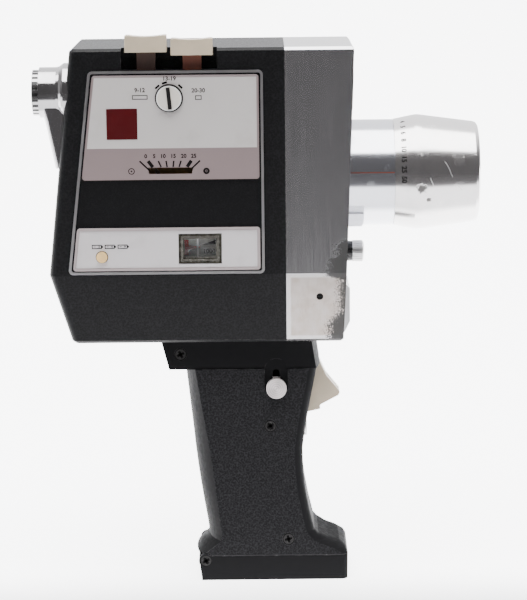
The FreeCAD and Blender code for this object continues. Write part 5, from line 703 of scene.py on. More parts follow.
class Palette:
    """Every finish of the camera as a material, by the name of its use."""

    def __init__(self, effects: SharedEffects) -> None:
        """Builds the materials once."""
        finishes = [
            GrainedPaint("wrinkle_paint", shade(11, 11, 12), 0.42, grain_scale=1500.0, grain_depth=0.00004,
                         worn=shade(96, 95, 94), wear=0.35),
            GrainedPaint("panel_black", shade(10, 10, 11), 0.36, grain_scale=2400.0, grain_depth=0.00003,
                         wear=0.1),
            BrushedMetal("brushed_housing", shade(203, 202, 203), 0.2, stain_and_reflection=True),
            PolishedMetal("border_silver", shade(196, 194, 194), 0.28),
            PrintedPlate("dial_field", shade(178, 174, 172), 0.42),
            PrintedPlate("meter_field", shade(190, 186, 187), 0.42, rear_low=(-0.0777, 0.1345),
                         rear_high=(-0.0759, 0.1495), front_x=-0.0046, lower=shade(152, 142, 142),
                         margin=shade(152, 142, 142)),
            Moulded("meter_black", shade(20, 20, 20), 0.3, worn=shade(90, 90, 88)),
            Glass("window_clear", (0.95, 0.97, 0.96), 0.02),
            Glass("lens_coated", (0.55, 0.6, 0.72), 0.02, index=1.6, coat=1.0),
            PolishedMetal("eyepiece_polish", shade(174, 172, 173), 0.12),
            PolishedMetal("barrel_satin", shade(214, 215, 221), 0.15, haze=(0.60, 0.62, 0.67),
                          worn_to=(0.0389, 0.1572)),
            PolishedMetal("focus_polish", shade(222, 219, 218), 0.16,
                          dents=((0.0620, -0.0230, 0.1648, 0.0017), (0.0647, -0.0213, 0.1600, 0.0010),
                                 (0.0858, -0.0190, 0.1575, 0.0010), (0.0713, -0.0226, 0.1640, 0.0004)),
                          scores=((0.0714, 0.1755, 0.0745, 0.1694), (0.0740, 0.1651, 0.0759, 0.1661),
                                  (0.0759, 0.1661, 0.0783, 0.1637), (0.0655, 0.1690, 0.0668, 0.1655))),
            PolishedMetal("knob_polish", shade(226, 225, 224), 0.36),
            DialFace("dial_satin", shade(208, 203, 194), 0.35),
            Moulded("black_collar", shade(18, 18, 19), 0.28),
            Moulded("ivory_key", shade(182, 168, 146), 0.36, worn=shade(212, 205, 192), mottle=0.08),
            Moulded("stem_dark", shade(62, 44, 38), 0.45, worn=shade(110, 80, 66)),
            Moulded("stem_red", shade(104, 60, 46), 0.45, worn=shade(150, 104, 82)),
            GripPlastic("grip_black", shade(23, 23, 24), 0.5, worn=shade(84, 83, 84), wear=0.35),
            Moulded("screw_black", shade(26, 25, 25), 0.4, specular=0.2, worn=shade(70, 68, 68)),
            Moulded("pointer_brown", shade(78, 60, 34), 0.5),
            Moulded("button_cream", shade(222, 186, 126), 0.35, worn=shade(236, 214, 168)),
            TurnedFace("lock_turned", shade(216, 208, 207), 0.4),
            BrushedMetal("plain_steel", shade(150, 150, 152), 0.35),
            BrushedMetal("worn_brass", shade(176, 148, 92), 0.3),
            BrushedMetal("motor_plating", shade(140, 140, 143), 0.4, lines=Axis.ALONG_X),
            GrainedPaint("blackened_metal", shade(22, 22, 23), 0.55, grain_scale=2600.0,
                         grain_depth=0.00003),
            Moulded("cell_sleeve", shade(70, 74, 84), 0.3, worn=shade(170, 170, 172)),
            Finish("print_black", shade(12, 9, 9), 0.6, specular=0.1),
            Finish("print_soft", shade(58, 52, 50), 0.6, specular=0.1),
            Finish("print_pale", shade(212, 210, 204), 0.5),
            Finish("print_red", shade(140, 10, 12), 0.6, specular=0.1),
            Finish("print_orange", shade(92, 48, 40), 0.6, specular=0.1),
            Moulded("badge_red", shade(62, 5, 9), 0.4, specular=0.2, worn=shade(90, 20, 24), mottle=0.1),
            # Painted shade: near black for screw recesses and for the gaps round screw heads and the test
            # button.
            Finish("painted_recess_shade", shade(6, 6, 6), 0.6, specular=0.05),
            # Painted light: brighter than the strip's own brown, for light that the deep slot keeps out.
            Finish("strip_brown_painted_light", shade(124, 96, 48), 0.5),
            Moulded("meter_olive", shade(40, 38, 31), 0.25, specular=0.3, worn=shade(96, 92, 82)),
            # Painted reflection of the clear cover's inner edges.
            Moulded("cover_edge_reflection", shade(178, 174, 166), 0.12, worn=shade(235, 232, 226), wear=1.0),
            Finish("meter_card", shade(166, 166, 160), 0.4),
            Moulded("meter_grey", shade(84, 82, 76), 0.25, worn=shade(196, 193, 186), wear=0.6),
            ClearPlastic("meter_glass", (0.9, 0.9, 0.9), 0.05, cover=0.03),
            Moulded("bezel_pale", shade(214, 214, 217), 0.16, worn=shade(240, 240, 240)),
            # Painted shade in the knurl's grooves, and the eye rim's own black rubber.
            Moulded("groove_shade_and_rubber", shade(16, 16, 16), 0.4),
            GrainedPaint("lens_black", shade(18, 18, 19), 0.4, grain_scale=2600.0, grain_depth=0.00002),
            PolishedMetal("gate_polish", shade(190, 190, 192), 0.15),
            Finish("needle_pale", shade(252, 250, 250), 0.35),
        ]
        self.materials = {finish.name: finish.material(effects) for finish in finishes}

    def __getitem__(self, name: str) -> bpy.types.Material:
        """The material of one finish."""
        return self.materials[name]


NODE_FINISHES = {
    "body_shell": "wrinkle_paint", "front_housing": "brushed_housing", "side_panel": "panel_black",
    "panel_trim": "border_silver", "dial_plate": "dial_field", "meter_plate": "meter_field",
    "meter_case": "meter_black", "meter_window": "meter_glass", "control_switches": "meter_black",
    "finder_tube": "blackened_metal", "finder_window": "lens_coated", "eyepiece_housing": "eyepiece_polish",
    "lens_barrel": "barrel_satin", "zoom_motor": "motor_plating", "rear_lens_group": "lens_coated",
    "knob_collar": "black_collar", "photocell_bezel": "bezel_pale", "photocell_window": "window_clear",
    "body_hinge_leaf": "plain_steel", "front_plate": "plain_steel", "mechanism_plate": "blackened_metal",
    "drive_motor": "motor_plating", "film_gate": "plain_steel", "grip_near": "grip_black",
    "grip_far": "grip_black", "grip_bracket": "plain_steel", "remote_jack": "black_collar",
    "battery_carrier": "meter_black", "cells": "cell_sleeve", "screws": "screw_black",
    "finder_dial": "dial_satin", "finder_carriage": "meter_black", "battery_test_button": "button_cream",
    "footage_pointer": "pointer_brown", "meter_needle": "needle_pale", "wide_key": "ivory_key",
    "wide_key_stem": "stem_dark", "tele_key": "ivory_key", "tele_key_stem": "stem_red",
    "eyepiece_ring": "eyepiece_polish", "eyepiece_lens": "lens_coated", "zoom_ring": "blackened_metal",
    "zoom_pinion": "worn_brass", "zoom_lens_group": "lens_coated", "focus_ring": "focus_polish",
    "front_cell": "blackened_metal", "front_element": "lens_coated", "front_knob": "knob_polish",
    "film_door": "wrinkle_paint", "door_latch": "knob_polish", "motor_shaft": "plain_steel",
    "idler_gear": "worn_brass", "shutter": "blackened_metal", "takeup_spindle": "plain_steel",
    "takeup_spool": "blackened_metal", "feed_spindle": "plain_steel", "trigger": "ivory_key",
    "lock_button": "lock_turned", "battery_door": "grip_black", "tripod_bush": "worn_brass",
}


# Meshes

class Draft:
    """One mesh in the making, drawn in millimetres."""

    def __init__(self) -> None:
        """Starts with an empty mesh."""
        self.shape = bmesh.new()

    def loft(self, sections: Sequence[Sequence[Sequence[float]]], closed: bool = False) -> None:
        """Adds a skin over sections of equally many points, capped unless it closes on itself."""
        rows = [[self.shape.verts.new(point) for point in section] for section in sections]
        pairs = list(zip(rows, rows[1:])) + ([(rows[-1], rows[0])] if closed else [])
        for row, following in pairs:
            for index, corner in enumerate(row):
                after = (index + 1) % len(row)
                self.shape.faces.new((corner, row[after], following[after], following[index]))
        if not closed:
            self.shape.faces.new(rows[0][::-1])
            self.shape.faces.new(rows[-1])

    def prism(self, outline: Sequence[Point], near: float, far: float) -> None:
        """Adds a plate with an outline in X and Z between two y values."""
        self.loft([[(x, near, z) for x, z in outline], [(x, far, z) for x, z in outline]])

    def plate(self, low: Point, high: Point, near: float, far: float) -> None:
        """Adds a rectangular plate between two corners of a panel."""
        self.prism([low, (high[0], low[1]), high, (low[0], high[1])], near, far)

    def bar(self, start: Point, end: Point, width: float, near: float, far: float,
            end_width: float | None = None) -> None:
        """Adds a straight bar between two points of a panel, which may taper."""
        along = Vector((end[0] - start[0], end[1] - start[1])).normalized()
        half = width / 2
        half_end = half if end_width is None else end_width / 2
        corners = []
        for point, reach, side in ((start, half, -1), (end, half_end, -1), (end, half_end, 1),
                                   (start, half, 1)):
            corners.append((point[0] - side * reach * along.y, point[1] + side * reach * along.x))
        self.prism(corners, near, far)

    def border(self, low: Point, high: Point, line: float, near: float, far: float) -> None:
        """Adds a thin rectangular frame."""
        corners = [low, (high[0], low[1]), high, (low[0], high[1])]
        inner = [(low[0] + line, low[1] + line), (high[0] - line, low[1] + line),
                 (high[0] - line, high[1] - line), (low[0] + line, high[1] - line)]
        sections = []
        for (x, z), (inner_x, inner_z) in zip(corners, inner):
            sections.append([(x, near, z), (x, far, z), (inner_x, far, inner_z), (inner_x, near, inner_z)])
        self.loft(sections, True)

    def arc(self, centre: Point, radius: float, line: float, near: float, far: float,
            start: float = 0.0, sweep: float = 360.0) -> None:
        """Adds a flat ring or a part of one; its angles are in degrees from +X towards +Z."""
        whole = abs(sweep) >= 360.0
        steps = max(6, round(abs(sweep) / 7.5))
        sections = []
        for index in range(steps if whole else steps + 1):
            angle = math.radians(start + sweep * index / steps)
            section = []
            for reach, y in ((radius, near), (radius, far), (radius - line, far), (radius - line, near)):
                section.append((centre[0] + reach * math.cos(angle), y, centre[1] + reach * math.sin(angle)))
            sections.append(section)
        self.loft(sections, whole)

    def turned(self, profile: Sequence[Point], centre: Point, steps: int = 96, start: float = 0.0,
               sweep: float = 360.0) -> None:
        """Adds a closed profile of X and radius turned about an axis along X.

        Args:
            profile: corners as X and radius.
            centre: the axis as Y and Z.
            steps: number of divisions of a whole turn.
            start: first angle in degrees, from +Z towards +Y.
            sweep: angle covered.
        """
        whole = abs(sweep) >= 360.0
        count = max(3, round(steps * abs(sweep) / 360.0))
        sections = []
        for index in range(count if whole else count + 1):
            angle = math.radians(start + sweep * index / count)
            sections.append([(x, centre[0] + radius * math.sin(angle), centre[1] + radius * math.cos(angle))
                             for x, radius in profile])
        self.loft(sections, whole)

    def numbers(self, text: str, height: float, place: Point, near: float, far: float) -> None:
        """Adds plain numbers that face the panel's side, centred on a place."""
        flat = number_mesh(text, height, (far - near) / 2)
        flat.transform(Matrix(((1, 0, 0, place[0]), (0, 0, -1, (near + far) / 2),
                               (0, 1, 0, place[1] - height / 2), (0, 0, 0, 1))))
        self.shape.from_mesh(flat)
        bpy.data.meshes.remove(flat)

    def bent_numbers(self, text: str, height: float, bend: Callable[[Vector], Sequence[float]]) -> None:
        """Adds plain numbers laid on a curved face.

        Args:
            text: the numbers.
            height: height of a digit.
            bend: gives the place on the face for a place in the flat print.
        """
        flat = number_mesh(text, height, 0.03)
        for vertex in flat.vertices:
            vertex.co = bend(vertex.co)
        self.shape.from_mesh(flat)
        bpy.data.meshes.remove(flat)

    def mesh(self, name: str) -> bpy.types.Mesh:
        """Ends the drawing as a mesh in metres whose faces point outwards."""
        bmesh.ops.remove_doubles(self.shape, verts=self.shape.verts, dist=0.0005)
        bmesh.ops.recalc_face_normals(self.shape, faces=self.shape.faces)
        bmesh.ops.scale(self.shape, vec=(MM, MM, MM), verts=self.shape.verts)
        made = bpy.data.meshes.new(name)
        self.shape.to_mesh(made)
        self.shape.free()
        return made


def number_mesh(text: str, height: float, half_depth: float) -> bpy.types.Mesh:
    """Plain numbers as a mesh in millimetres, standing on y = 0 and centred on x = 0.

    Args:
        text: the numbers.
        height: height of a digit.
        half_depth: half of the print's thickness.

    Returns:
        The mesh, with its front towards +Z.
    """
    digit_share, bolder = 0.69, 0.045
    curve = bpy.data.curves.new("numbers", "FONT")
    curve.body = text
    curve.size = height / digit_share
    curve.align_x = "CENTER"
    curve.extrude = half_depth
    curve.offset = bolder * height
    curve.resolution_u = 4
    holder = bpy.data.objects.new("numbers", curve)
    bpy.context.scene.collection.objects.link(holder)
    flat = bpy.data.meshes.new_from_object(holder.evaluated_get(bpy.context.evaluated_depsgraph_get()))
    bpy.data.objects.remove(holder)
    bpy.data.curves.remove(curve)
    return flat


# Patterns grown by Geometry Nodes

class Pattern(Graph):
    """A Geometry Nodes tree for one thing that repeats."""

    def __init__(self, name: str, inputs: dict[str, str]) -> None:
        """Makes the tree with its named inputs and a geometry output.

        Args:
            name: name of the tree.
            inputs: socket type of each input.
        """
        super().__init__(bpy.data.node_groups.new(name, "GeometryNodeTree"))
        for label, kind in inputs.items():
            self.tree.interface.new_socket(label, in_out="INPUT", socket_type=kind)
        self.tree.interface.new_socket("Finish", in_out="INPUT", socket_type="NodeSocketMaterial")
        self.tree.interface.new_socket("Geometry", in_out="OUTPUT", socket_type="NodeSocketGeometry")
        self.source = self.tree.nodes.new("NodeGroupInput")

    def value(self, name: str) -> Socket:
        """One of the tree's inputs."""
        return self.source.outputs[name]

    def circle(self, resolution: int, radius: Socket) -> Socket:
        """A circle as a curve."""
        return self.node("GeometryNodeCurvePrimitiveCircle", {"Resolution": resolution, "Radius": radius},
                         mode="RADIUS").outputs[0]

    def end(self, points: Socket, shape: Socket, turn: object = (0.0, 0.0, 0.0)) -> None:
        """Puts a shape on every point, realizes the instances, sets the finish and ends the tree."""
        placed = self.node("GeometryNodeInstanceOnPoints",
                           {"Points": points, "Instance": shape, "Rotation": turn})
        real = self.node("GeometryNodeRealizeInstances", {0: placed.outputs[0]})
        dressed = self.node("GeometryNodeSetMaterial", {"Geometry": real.outputs[0],
                                                        "Material": self.value("Finish")})
        result = self.tree.nodes.new("NodeGroupOutput")
        self.feed(result.inputs[0], dressed.outputs[0])

    def row(self) -> Socket:
        """Points from First, Step apart."""
        number = self.node("GeometryNodeInputIndex").outputs[0]
        offset = self.node("ShaderNodeVectorMath", {0: self.value("Step")}, operation="SCALE")
        self.feed(offset.inputs["Scale"], number)
        place = self.node("ShaderNodeVectorMath", {0: self.value("First"), 1: offset.outputs[0]},
                          operation="ADD").outputs[0]
        return self.node("GeometryNodePoints", {"Count": self.value("Count"), "Position": place}).outputs[0]

    def grow(self, name: str, values: dict[str, object]) -> bpy.types.Mesh:
        """Evaluates the tree as a plain mesh.

        Args:
            name: name of the mesh.
            values: value of each named input.

        Returns:
            The mesh, in metres, with its finish in it.
        """
        seed = bpy.data.objects.new(name, bpy.data.meshes.new(name))
        bpy.context.scene.collection.objects.link(seed)
        modifier = seed.modifiers.new("pattern", "NODES")
        modifier.node_group = self.tree
        for item in self.tree.interface.items_tree:
            if item.item_type == "SOCKET" and item.in_out == "INPUT":
                modifier[item.identifier] = values[item.name]
        made = bpy.data.meshes.new_from_object(seed.evaluated_get(bpy.context.evaluated_depsgraph_get()))
        bpy.data.objects.remove(seed)
        made.name = name
        return made


class Patterns:
    """Every pattern that the camera's pieces use, each tree built once."""

    def __init__(self) -> None:
        """Builds the trees."""
        self.ring_of_bars = self._ring_of_bars()
        self.row_of_rings = self._row_of_rings()
        self.row_of_domes = self._row_of_domes()
        self.row_of_springs = self._row_of_springs()

    @staticmethod
    def _ring_of_bars() -> Pattern:
        """Bars round an axis along X, for the gaps of a knurl."""
        tree = Pattern("ring_of_bars", {"Count": WHOLE, "Centre": VECTOR,
                                        "Radius": NUMBER, "Start": NUMBER,
                                        "Step": NUMBER, "Size": VECTOR})
        number = tree.node("GeometryNodeInputIndex").outputs[0]
        angle = tree.plus(tree.value("Start"), tree.times(number, tree.value("Step")))
        across = tree.times(tree.value("Radius"), tree.sum("SINE", angle))
        upward = tree.times(tree.value("Radius"), tree.sum("COSINE", angle))
        reach = tree.node("ShaderNodeCombineXYZ", {1: across, 2: upward}).outputs[0]
        place = tree.node("ShaderNodeVectorMath", {0: tree.value("Centre"), 1: reach},
                          operation="ADD").outputs[0]
        points = tree.node("GeometryNodePoints",
                           {"Count": tree.value("Count"), "Position": place}).outputs[0]
        turn = tree.node("ShaderNodeCombineXYZ", {0: tree.times(angle, -1.0)}).outputs[0]
        block = tree.node("GeometryNodeMeshCube", {"Size": tree.value("Size")}).outputs[0]
        tree.end(points, block, turn)
        return tree

    @staticmethod
    def _row_of_rings() -> Pattern:
        """Rings side by side along a line, such as the crests of a thread or the coils of a core."""
        tree = Pattern("row_of_rings", {"Count": WHOLE, "First": VECTOR,
                                        "Step": VECTOR, "Turn": VECTOR,
                                        "Radius": NUMBER, "Thickness": NUMBER})
        path, section = tree.circle(96, tree.value("Radius")), tree.circle(6, tree.value("Thickness"))
        ring = tree.node("GeometryNodeCurveToMesh", {"Curve": path, "Profile Curve": section}).outputs[0]
        tree.end(tree.row(), ring, tree.value("Turn"))
        return tree

    @staticmethod
    def _row_of_domes() -> Pattern:
        """Low domed heads in a line, such as rivets."""
        tree = Pattern("row_of_domes", {"Count": WHOLE, "First": VECTOR,
                                        "Step": VECTOR, "Radius": NUMBER,
                                        "Height": NUMBER})
        ball = tree.node("GeometryNodeMeshUVSphere", {"Segments": 24, "Rings": 12,
                                                      "Radius": tree.value("Radius")}).outputs[0]
        flatness = tree.sum("DIVIDE", tree.value("Height"), tree.value("Radius"))
        squashed = tree.node("ShaderNodeCombineXYZ", {0: 1.0, 1: flatness, 2: 1.0}).outputs[0]
        head = tree.node("GeometryNodeTransform", {"Geometry": ball, "Scale": squashed}).outputs[0]
        tree.end(tree.row(), head)
        return tree

    @staticmethod
    def _row_of_springs() -> Pattern:
        """Wire springs that stand upright in a line."""
        tree = Pattern("row_of_springs", {"Count": WHOLE, "First": VECTOR,
                                          "Step": VECTOR, "Turn": VECTOR,
                                          "Turns": NUMBER, "Base": NUMBER,
                                          "Tip": NUMBER, "Length": NUMBER,
                                          "Wire": NUMBER})
        path = tree.node("GeometryNodeCurveSpiral", {"Resolution": 24, "Rotations": tree.value("Turns"),
                                                     "Start Radius": tree.value("Base"),
                                                     "End Radius": tree.value("Tip"),
                                                     "Height": tree.value("Length")}).outputs[0]
        spring = tree.node("GeometryNodeCurveToMesh", {"Curve": path,
                                                       "Profile Curve": tree.circle(8, tree.value("Wire")),
                                                       "Fill Caps": True}).outputs[0]
        tree.end(tree.row(), spring, tree.value("Turn"))
        return tree


class Workshop:
    """Puts finished pieces into the scene."""

    def __init__(self, palette: Palette, patterns: Patterns) -> None:
        """Keeps what every sub-assembly uses."""
        self.palette = palette
        self.patterns = patterns

    def piece(self, name: str, mesh: bpy.types.Mesh, finish: str, body: str = MAIN_BODY,
              smooth: bool = False) -> bpy.types.Object:
        """Finishes a piece and makes it ride on a body.

        Args:
            name: name of the piece.
            mesh: its mesh, in metres and in place.
            finish: name of its finish in the palette.
            body: the body that carries it.
            smooth: whether its faces are shaded as one curved skin.

        Returns:
            The piece's object.
        """
        mesh.materials.clear()
        mesh.materials.append(self.palette[finish])
        if smooth:
            mesh.shade_smooth()
        made = bpy.data.objects.new(name, mesh)
        bpy.context.scene.collection.objects.link(made)
        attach(made, body)
        LOG.info("%s made in %s, on %s", name, finish, body)
        return made

    def drawn(self, name: str, draft: Draft, finish: str, body: str = MAIN_BODY,
              smooth: bool = False) -> None:
        """Ends a drawing and makes it a piece, with the same choices as piece has."""
        self.piece(name, draft.mesh(name), finish, body, smooth)


# Sub-assemblies

@dataclass
class ControlPanel:
    """Printing on the two plates of the near side, and the strip behind the footage slot."""

    dial_plane: float = -28.7
    meter_plane: float = -28.5
    panel_back: float = -26.2
    print_height: float = 0.03
    print_root: float = 0.02
    mark_length: float = 2.1
    mark_width: float = 0.8
    marks: tuple[tuple[float, float, float], ...] = ((-43.7, 207.4, 41.0), (-40.8, 209.0, 17.0),
                                                     (-34.5, 207.5, -43.0))
    number_height: float = 1.6
    icon_line: float = 0.34
    icon_height: float = 1.8
    wide_label: Point = (-50.7, 206.2)
    normal_label: Point = (-38.9, 210.75)
    narrow_label: Point = (-27.4, 205.9)
    label_pitch: float = 2.9
    wide_half: float = 3.1
    narrow_half: float = 1.3
    footage: tuple[tuple[str, float], ...] = (("0", -48.8), ("5", -45.4), ("10", -41.9), ("15", -37.8),
                                              ("20", -33.6), ("25", -29.6))
    footage_z: float = 179.75
    footage_height: float = 1.5
    tick_top: float = 177.8
    tick_foot: float = 175.3
    ticks: tuple[Point, ...] = ((-43.8, -42.7), (-40.7, -40.3), (-37.6, -37.9), (-34.7, -35.5))
    thick_ticks: tuple[Point, ...] = ((-47.9, -46.0), (-30.6, -32.3))
    outer_ticks: tuple[tuple[Point, Point], ...] = (((-51.3, 177.8), (-47.4, 174.0)),
                                                    ((-27.1, 177.8), (-30.5, 174.6)))
    tick_width: float = 0.62
    thick_width: float = 1.35
    reel_empty: Point = (-54.6, 173.7)
    reel_full: Point = (-24.6, 173.6)
    reel_radius: float = 1.3
    hub_share: float = 0.28
    hub_line_share: float = 0.2
    strip_low: Point = (-50.5, 170.8)
    strip_high: Point = (-27.5, 178.4)
    strip_lip: float = 177.8
    strip_front: float = 1.3
    strip_rear: float = 1.6
    badge_low: Point = (-64.2, 186.5)
    badge_high: Point = (-51.9, 198.8)
    badge_height: float = 0.12
    cell_icon: Point = (-63.6, 143.2)
    cells_reach: float = 7.6
    cell_pitch: float = 5.2
    cell_length: float = 4.0
    cell_half: float = 0.85
    cap_length: float = 0.5
    cap_width: float = 0.8
    sign_line: float = 0.22
    minus_span: Point = (0.8, 1.6)
    plus_span: Point = (2.5, 3.4)
    plus_middle: float = 2.95
    plus_half: float = 0.45
    plus_proud: float = 0.004
    button: Point = (-67.2, 139.0)
    button_gap_radius: float = 2.5
    button_gap_line: float = 0.25

    def build(self, shop: Workshop) -> None:
        """Prints both plates and fits the strip and the badge."""
        self._dial_printing(shop)
        self._footage_printing(shop)
        self._slot_strip(shop)
        self._badge(shop)
        self._cell_icon(shop)

    def _ink(self, plane: float) -> tuple[float, float]:
        """Front and back of a print on a plane."""
        return plane - self.print_height, plane + self.print_root

    def _dial_printing(self, shop: Workshop) -> None:
        """Three marks round the finder dial, and a number with a picture frame for each setting."""
        near, far = self._ink(self.dial_plane)
        draft = Draft()
        for x, z, tilt in self.marks:
            angle = math.radians(tilt)
            reach = Vector((math.cos(angle), math.sin(angle))) * self.mark_length / 2
            draft.bar((x - reach.x, z - reach.y), (x + reach.x, z + reach.y), self.mark_width, near, far)
        shop.drawn("finder_marks", draft, "print_black")
        draft = Draft()
        for text, place in (("9-12", self.wide_label), ("13-19", self.normal_label),
                            ("20-30", self.narrow_label)):
            draft.numbers(text, self.number_height, place, near, far)
        for (x, z), half in ((self.wide_label, self.wide_half), (self.narrow_label, self.narrow_half)):
            low = (x - half, z - self.label_pitch - self.icon_height / 2)
            high = (x + half, low[1] + self.icon_height)
            draft.border(low, high, self.icon_line, near, far)
        shop.drawn("finder_numbers", draft, "print_soft")

    def _footage_printing(self, shop: Workshop) -> None:
        """Footage numbers, the fan of marks above the slot and a reel at each end."""
        near, far = self._ink(self.dial_plane)
        draft = Draft()
        for text, x in self.footage:
            draft.numbers(text, self.footage_height, (x, self.footage_z), near, far)
        shop.drawn("footage_numbers", draft, "print_black")
        draft = Draft()
        for ticks, width in ((self.ticks, self.tick_width), (self.thick_ticks, self.thick_width)):
            for top, foot in ticks:
                draft.bar((top, self.tick_top), (foot, self.tick_foot), width, near, far)
        for top, foot in self.outer_ticks:
            draft.bar(top, foot, self.tick_width, near, far)
        shop.drawn("footage_marks", draft, "print_black")
        draft = Draft()
        for centre, wound in ((self.reel_empty, 0.25), (self.reel_full, 0.62)):
            draft.arc(centre, self.reel_radius, self.reel_radius * wound, near, far)
            draft.arc(centre, self.reel_radius * self.hub_share, self.reel_radius * self.hub_line_share,
                      near, far)
        shop.drawn("reel_marks", draft, "print_black")

    def _slot_strip(self, shop: Workshop) -> None:
        """Brown strip behind the footage pointer, hung from the back of the panel, painted lighter than its
        own brown to stand in for light that the deep slot keeps out.
        """
        draft = Draft()
        front = self.panel_back + self.strip_front
        draft.plate(self.strip_low, self.strip_high, front, self.panel_back + self.strip_rear)
        draft.plate((self.strip_low[0], self.strip_lip), self.strip_high, self.panel_back, front)
        shop.drawn("footage_strip", draft, "strip_brown_painted_light")

    def _badge(self, shop: Workshop) -> None:
        """Plain dark red square."""
        draft = Draft()
        draft.plate(self.badge_low, self.badge_high, self.dial_plane - self.badge_height, self.dial_plane)
        shop.drawn("badge", draft, "badge_red")

    def _cell_icon(self, shop: Workshop) -> None:
        """Row of dry cells, drawn over the test button, and a dark ring of painted shadow in the gap round
        the button.
        """
        near, far = self._ink(self.meter_plane)
        draft = Draft()
        # Painted shadow: a near-black ring in the gap round the test button.
        draft.arc(self.button, self.button_gap_radius, self.button_gap_line, near, far)
        shop.drawn("button_gap_shadow", draft, "painted_recess_shade")
        draft = Draft()
        x, z = self.cell_icon
        for index in range(3):
            left = x - self.cells_reach + self.cell_pitch * index
            right = left + self.cell_length
            draft.border((left, z - self.cell_half), (right, z + self.cell_half), self.icon_line, near, far)
            draft.bar((right, z), (right + self.cap_length, z), self.cap_width, near, far)
            for start, end in (self.minus_span, self.plus_span):
                draft.bar((left + start, z), (left + end, z), self.sign_line, near, far)
            middle = left + self.plus_middle
            draft.bar((middle, z - self.plus_half), (middle, z + self.plus_half), self.sign_line,
                      near - self.plus_proud, far)
        shop.drawn("battery_marks", draft, "print_black")


@dataclass
class BatteryMeter:
    """Stepped bezel, card and printing of the battery meter."""

    left: float = -36.3
    right: float = -18.9
    bottom: float = 135.9
    top: float = 148.2
    front: float = -28.5
    card_plane: float = -19.2
    card_depth: float = 0.12
    card_inset: float = 1.1
    card_low: float = 137.6
    card_high: float = 147.4
    rim_steps: tuple[Four, ...] = ((0.25, 0.6, -0.12, 0.05), (1.75, 0.3, 0.9, 2.3))
    clear_steps: tuple[Four, ...] = ((1.0, 0.75, 0.25, 1.5), (2.05, 0.35, 1.6, 2.3))
    ledge_inset: float = 1.2
    ledges: tuple[tuple[float, float, float], ...] = ((136.4, 0.5, 2.6), (137.3, 0.4, 1.4),
                                                      (146.6, 0.8, 4.6))
    print_height: float = 0.03
    print_root: float = 0.01
    red_bar: tuple[Point, Point] = ((-33.6, 137.9), (-33.6, 144.3))
    red_bar_width: float = 2.2
    red_wedge: tuple[Point, Point] = ((-32.8, 141.0), (-27.6, 141.3))
    red_tip: float = 0.3
    black_wedge: tuple[Point, Point] = ((-20.9, 143.3), (-27.0, 142.1))
    black_tip: float = 0.25
    wedge_width: float = 2.1
    number_height: float = 1.75
    number_place: Point = (-24.2, 139.6)

    def build(self, shop: Workshop) -> None:
        """Fits the bezel's steps, the card and its printing."""
        self._bezel(shop)
        self._card(shop)
        self._printing(shop)

    def _bezel(self, shop: Workshop) -> None:
        """Dark rim and dark inner step, and the two pale clear steps."""
        for name, finish, steps in (("meter_rim", "meter_olive", self.rim_steps),
                                    ("meter_steps", "meter_grey", self.clear_steps)):
            draft = Draft()
            for inset, line, near, far in steps:
                low = (self.left + inset, self.bottom + inset)
                high = (self.right - inset, self.top - inset)
                draft.border(low, high, line, self.front + near, self.front + far)
            shop.drawn(name, draft, finish)

    def _card(self, shop: Workshop) -> None:
        """Pale card, and three ledges for the clear cover's inner edges, one at its top and two at its foot,
        pale with bright edges as a painted reflection of the cover.
        """
        draft = Draft()
        draft.plate((self.left + self.card_inset, self.card_low),
                    (self.right - self.card_inset, self.card_high),
                    self.card_plane - self.card_depth, self.card_plane)
        shop.drawn("meter_card", draft, "meter_card")
        # Painted reflection: the clear cover's inner edges are drawn as pale ledges with bright edges.
        draft = Draft()
        for foot, height, reach in self.ledges:
            draft.plate((self.left + self.ledge_inset, foot), (self.right - self.ledge_inset, foot + height),
                        self.card_plane - reach, self.card_plane)
        shop.drawn("meter_ledges", draft, "cover_edge_reflection")

    def _printing(self, shop: Workshop) -> None:
        """Red bar and wedge on the left, black wedge and numbers on the right."""
        face = self.card_plane - self.card_depth
        near, far = face - self.print_height, face + self.print_root
        draft = Draft()
        draft.bar(*self.red_bar, self.red_bar_width, near, far)
        draft.bar(*self.red_wedge, self.wedge_width, near - self.print_root, far, self.red_tip)
        shop.drawn("meter_red", draft, "print_red")
        draft = Draft()
        draft.bar(*self.black_wedge, self.wedge_width, near, far, self.black_tip)
        draft.numbers("1000", self.number_height, self.number_place, near, far)
        shop.drawn("meter_black_marks", draft, "print_black")


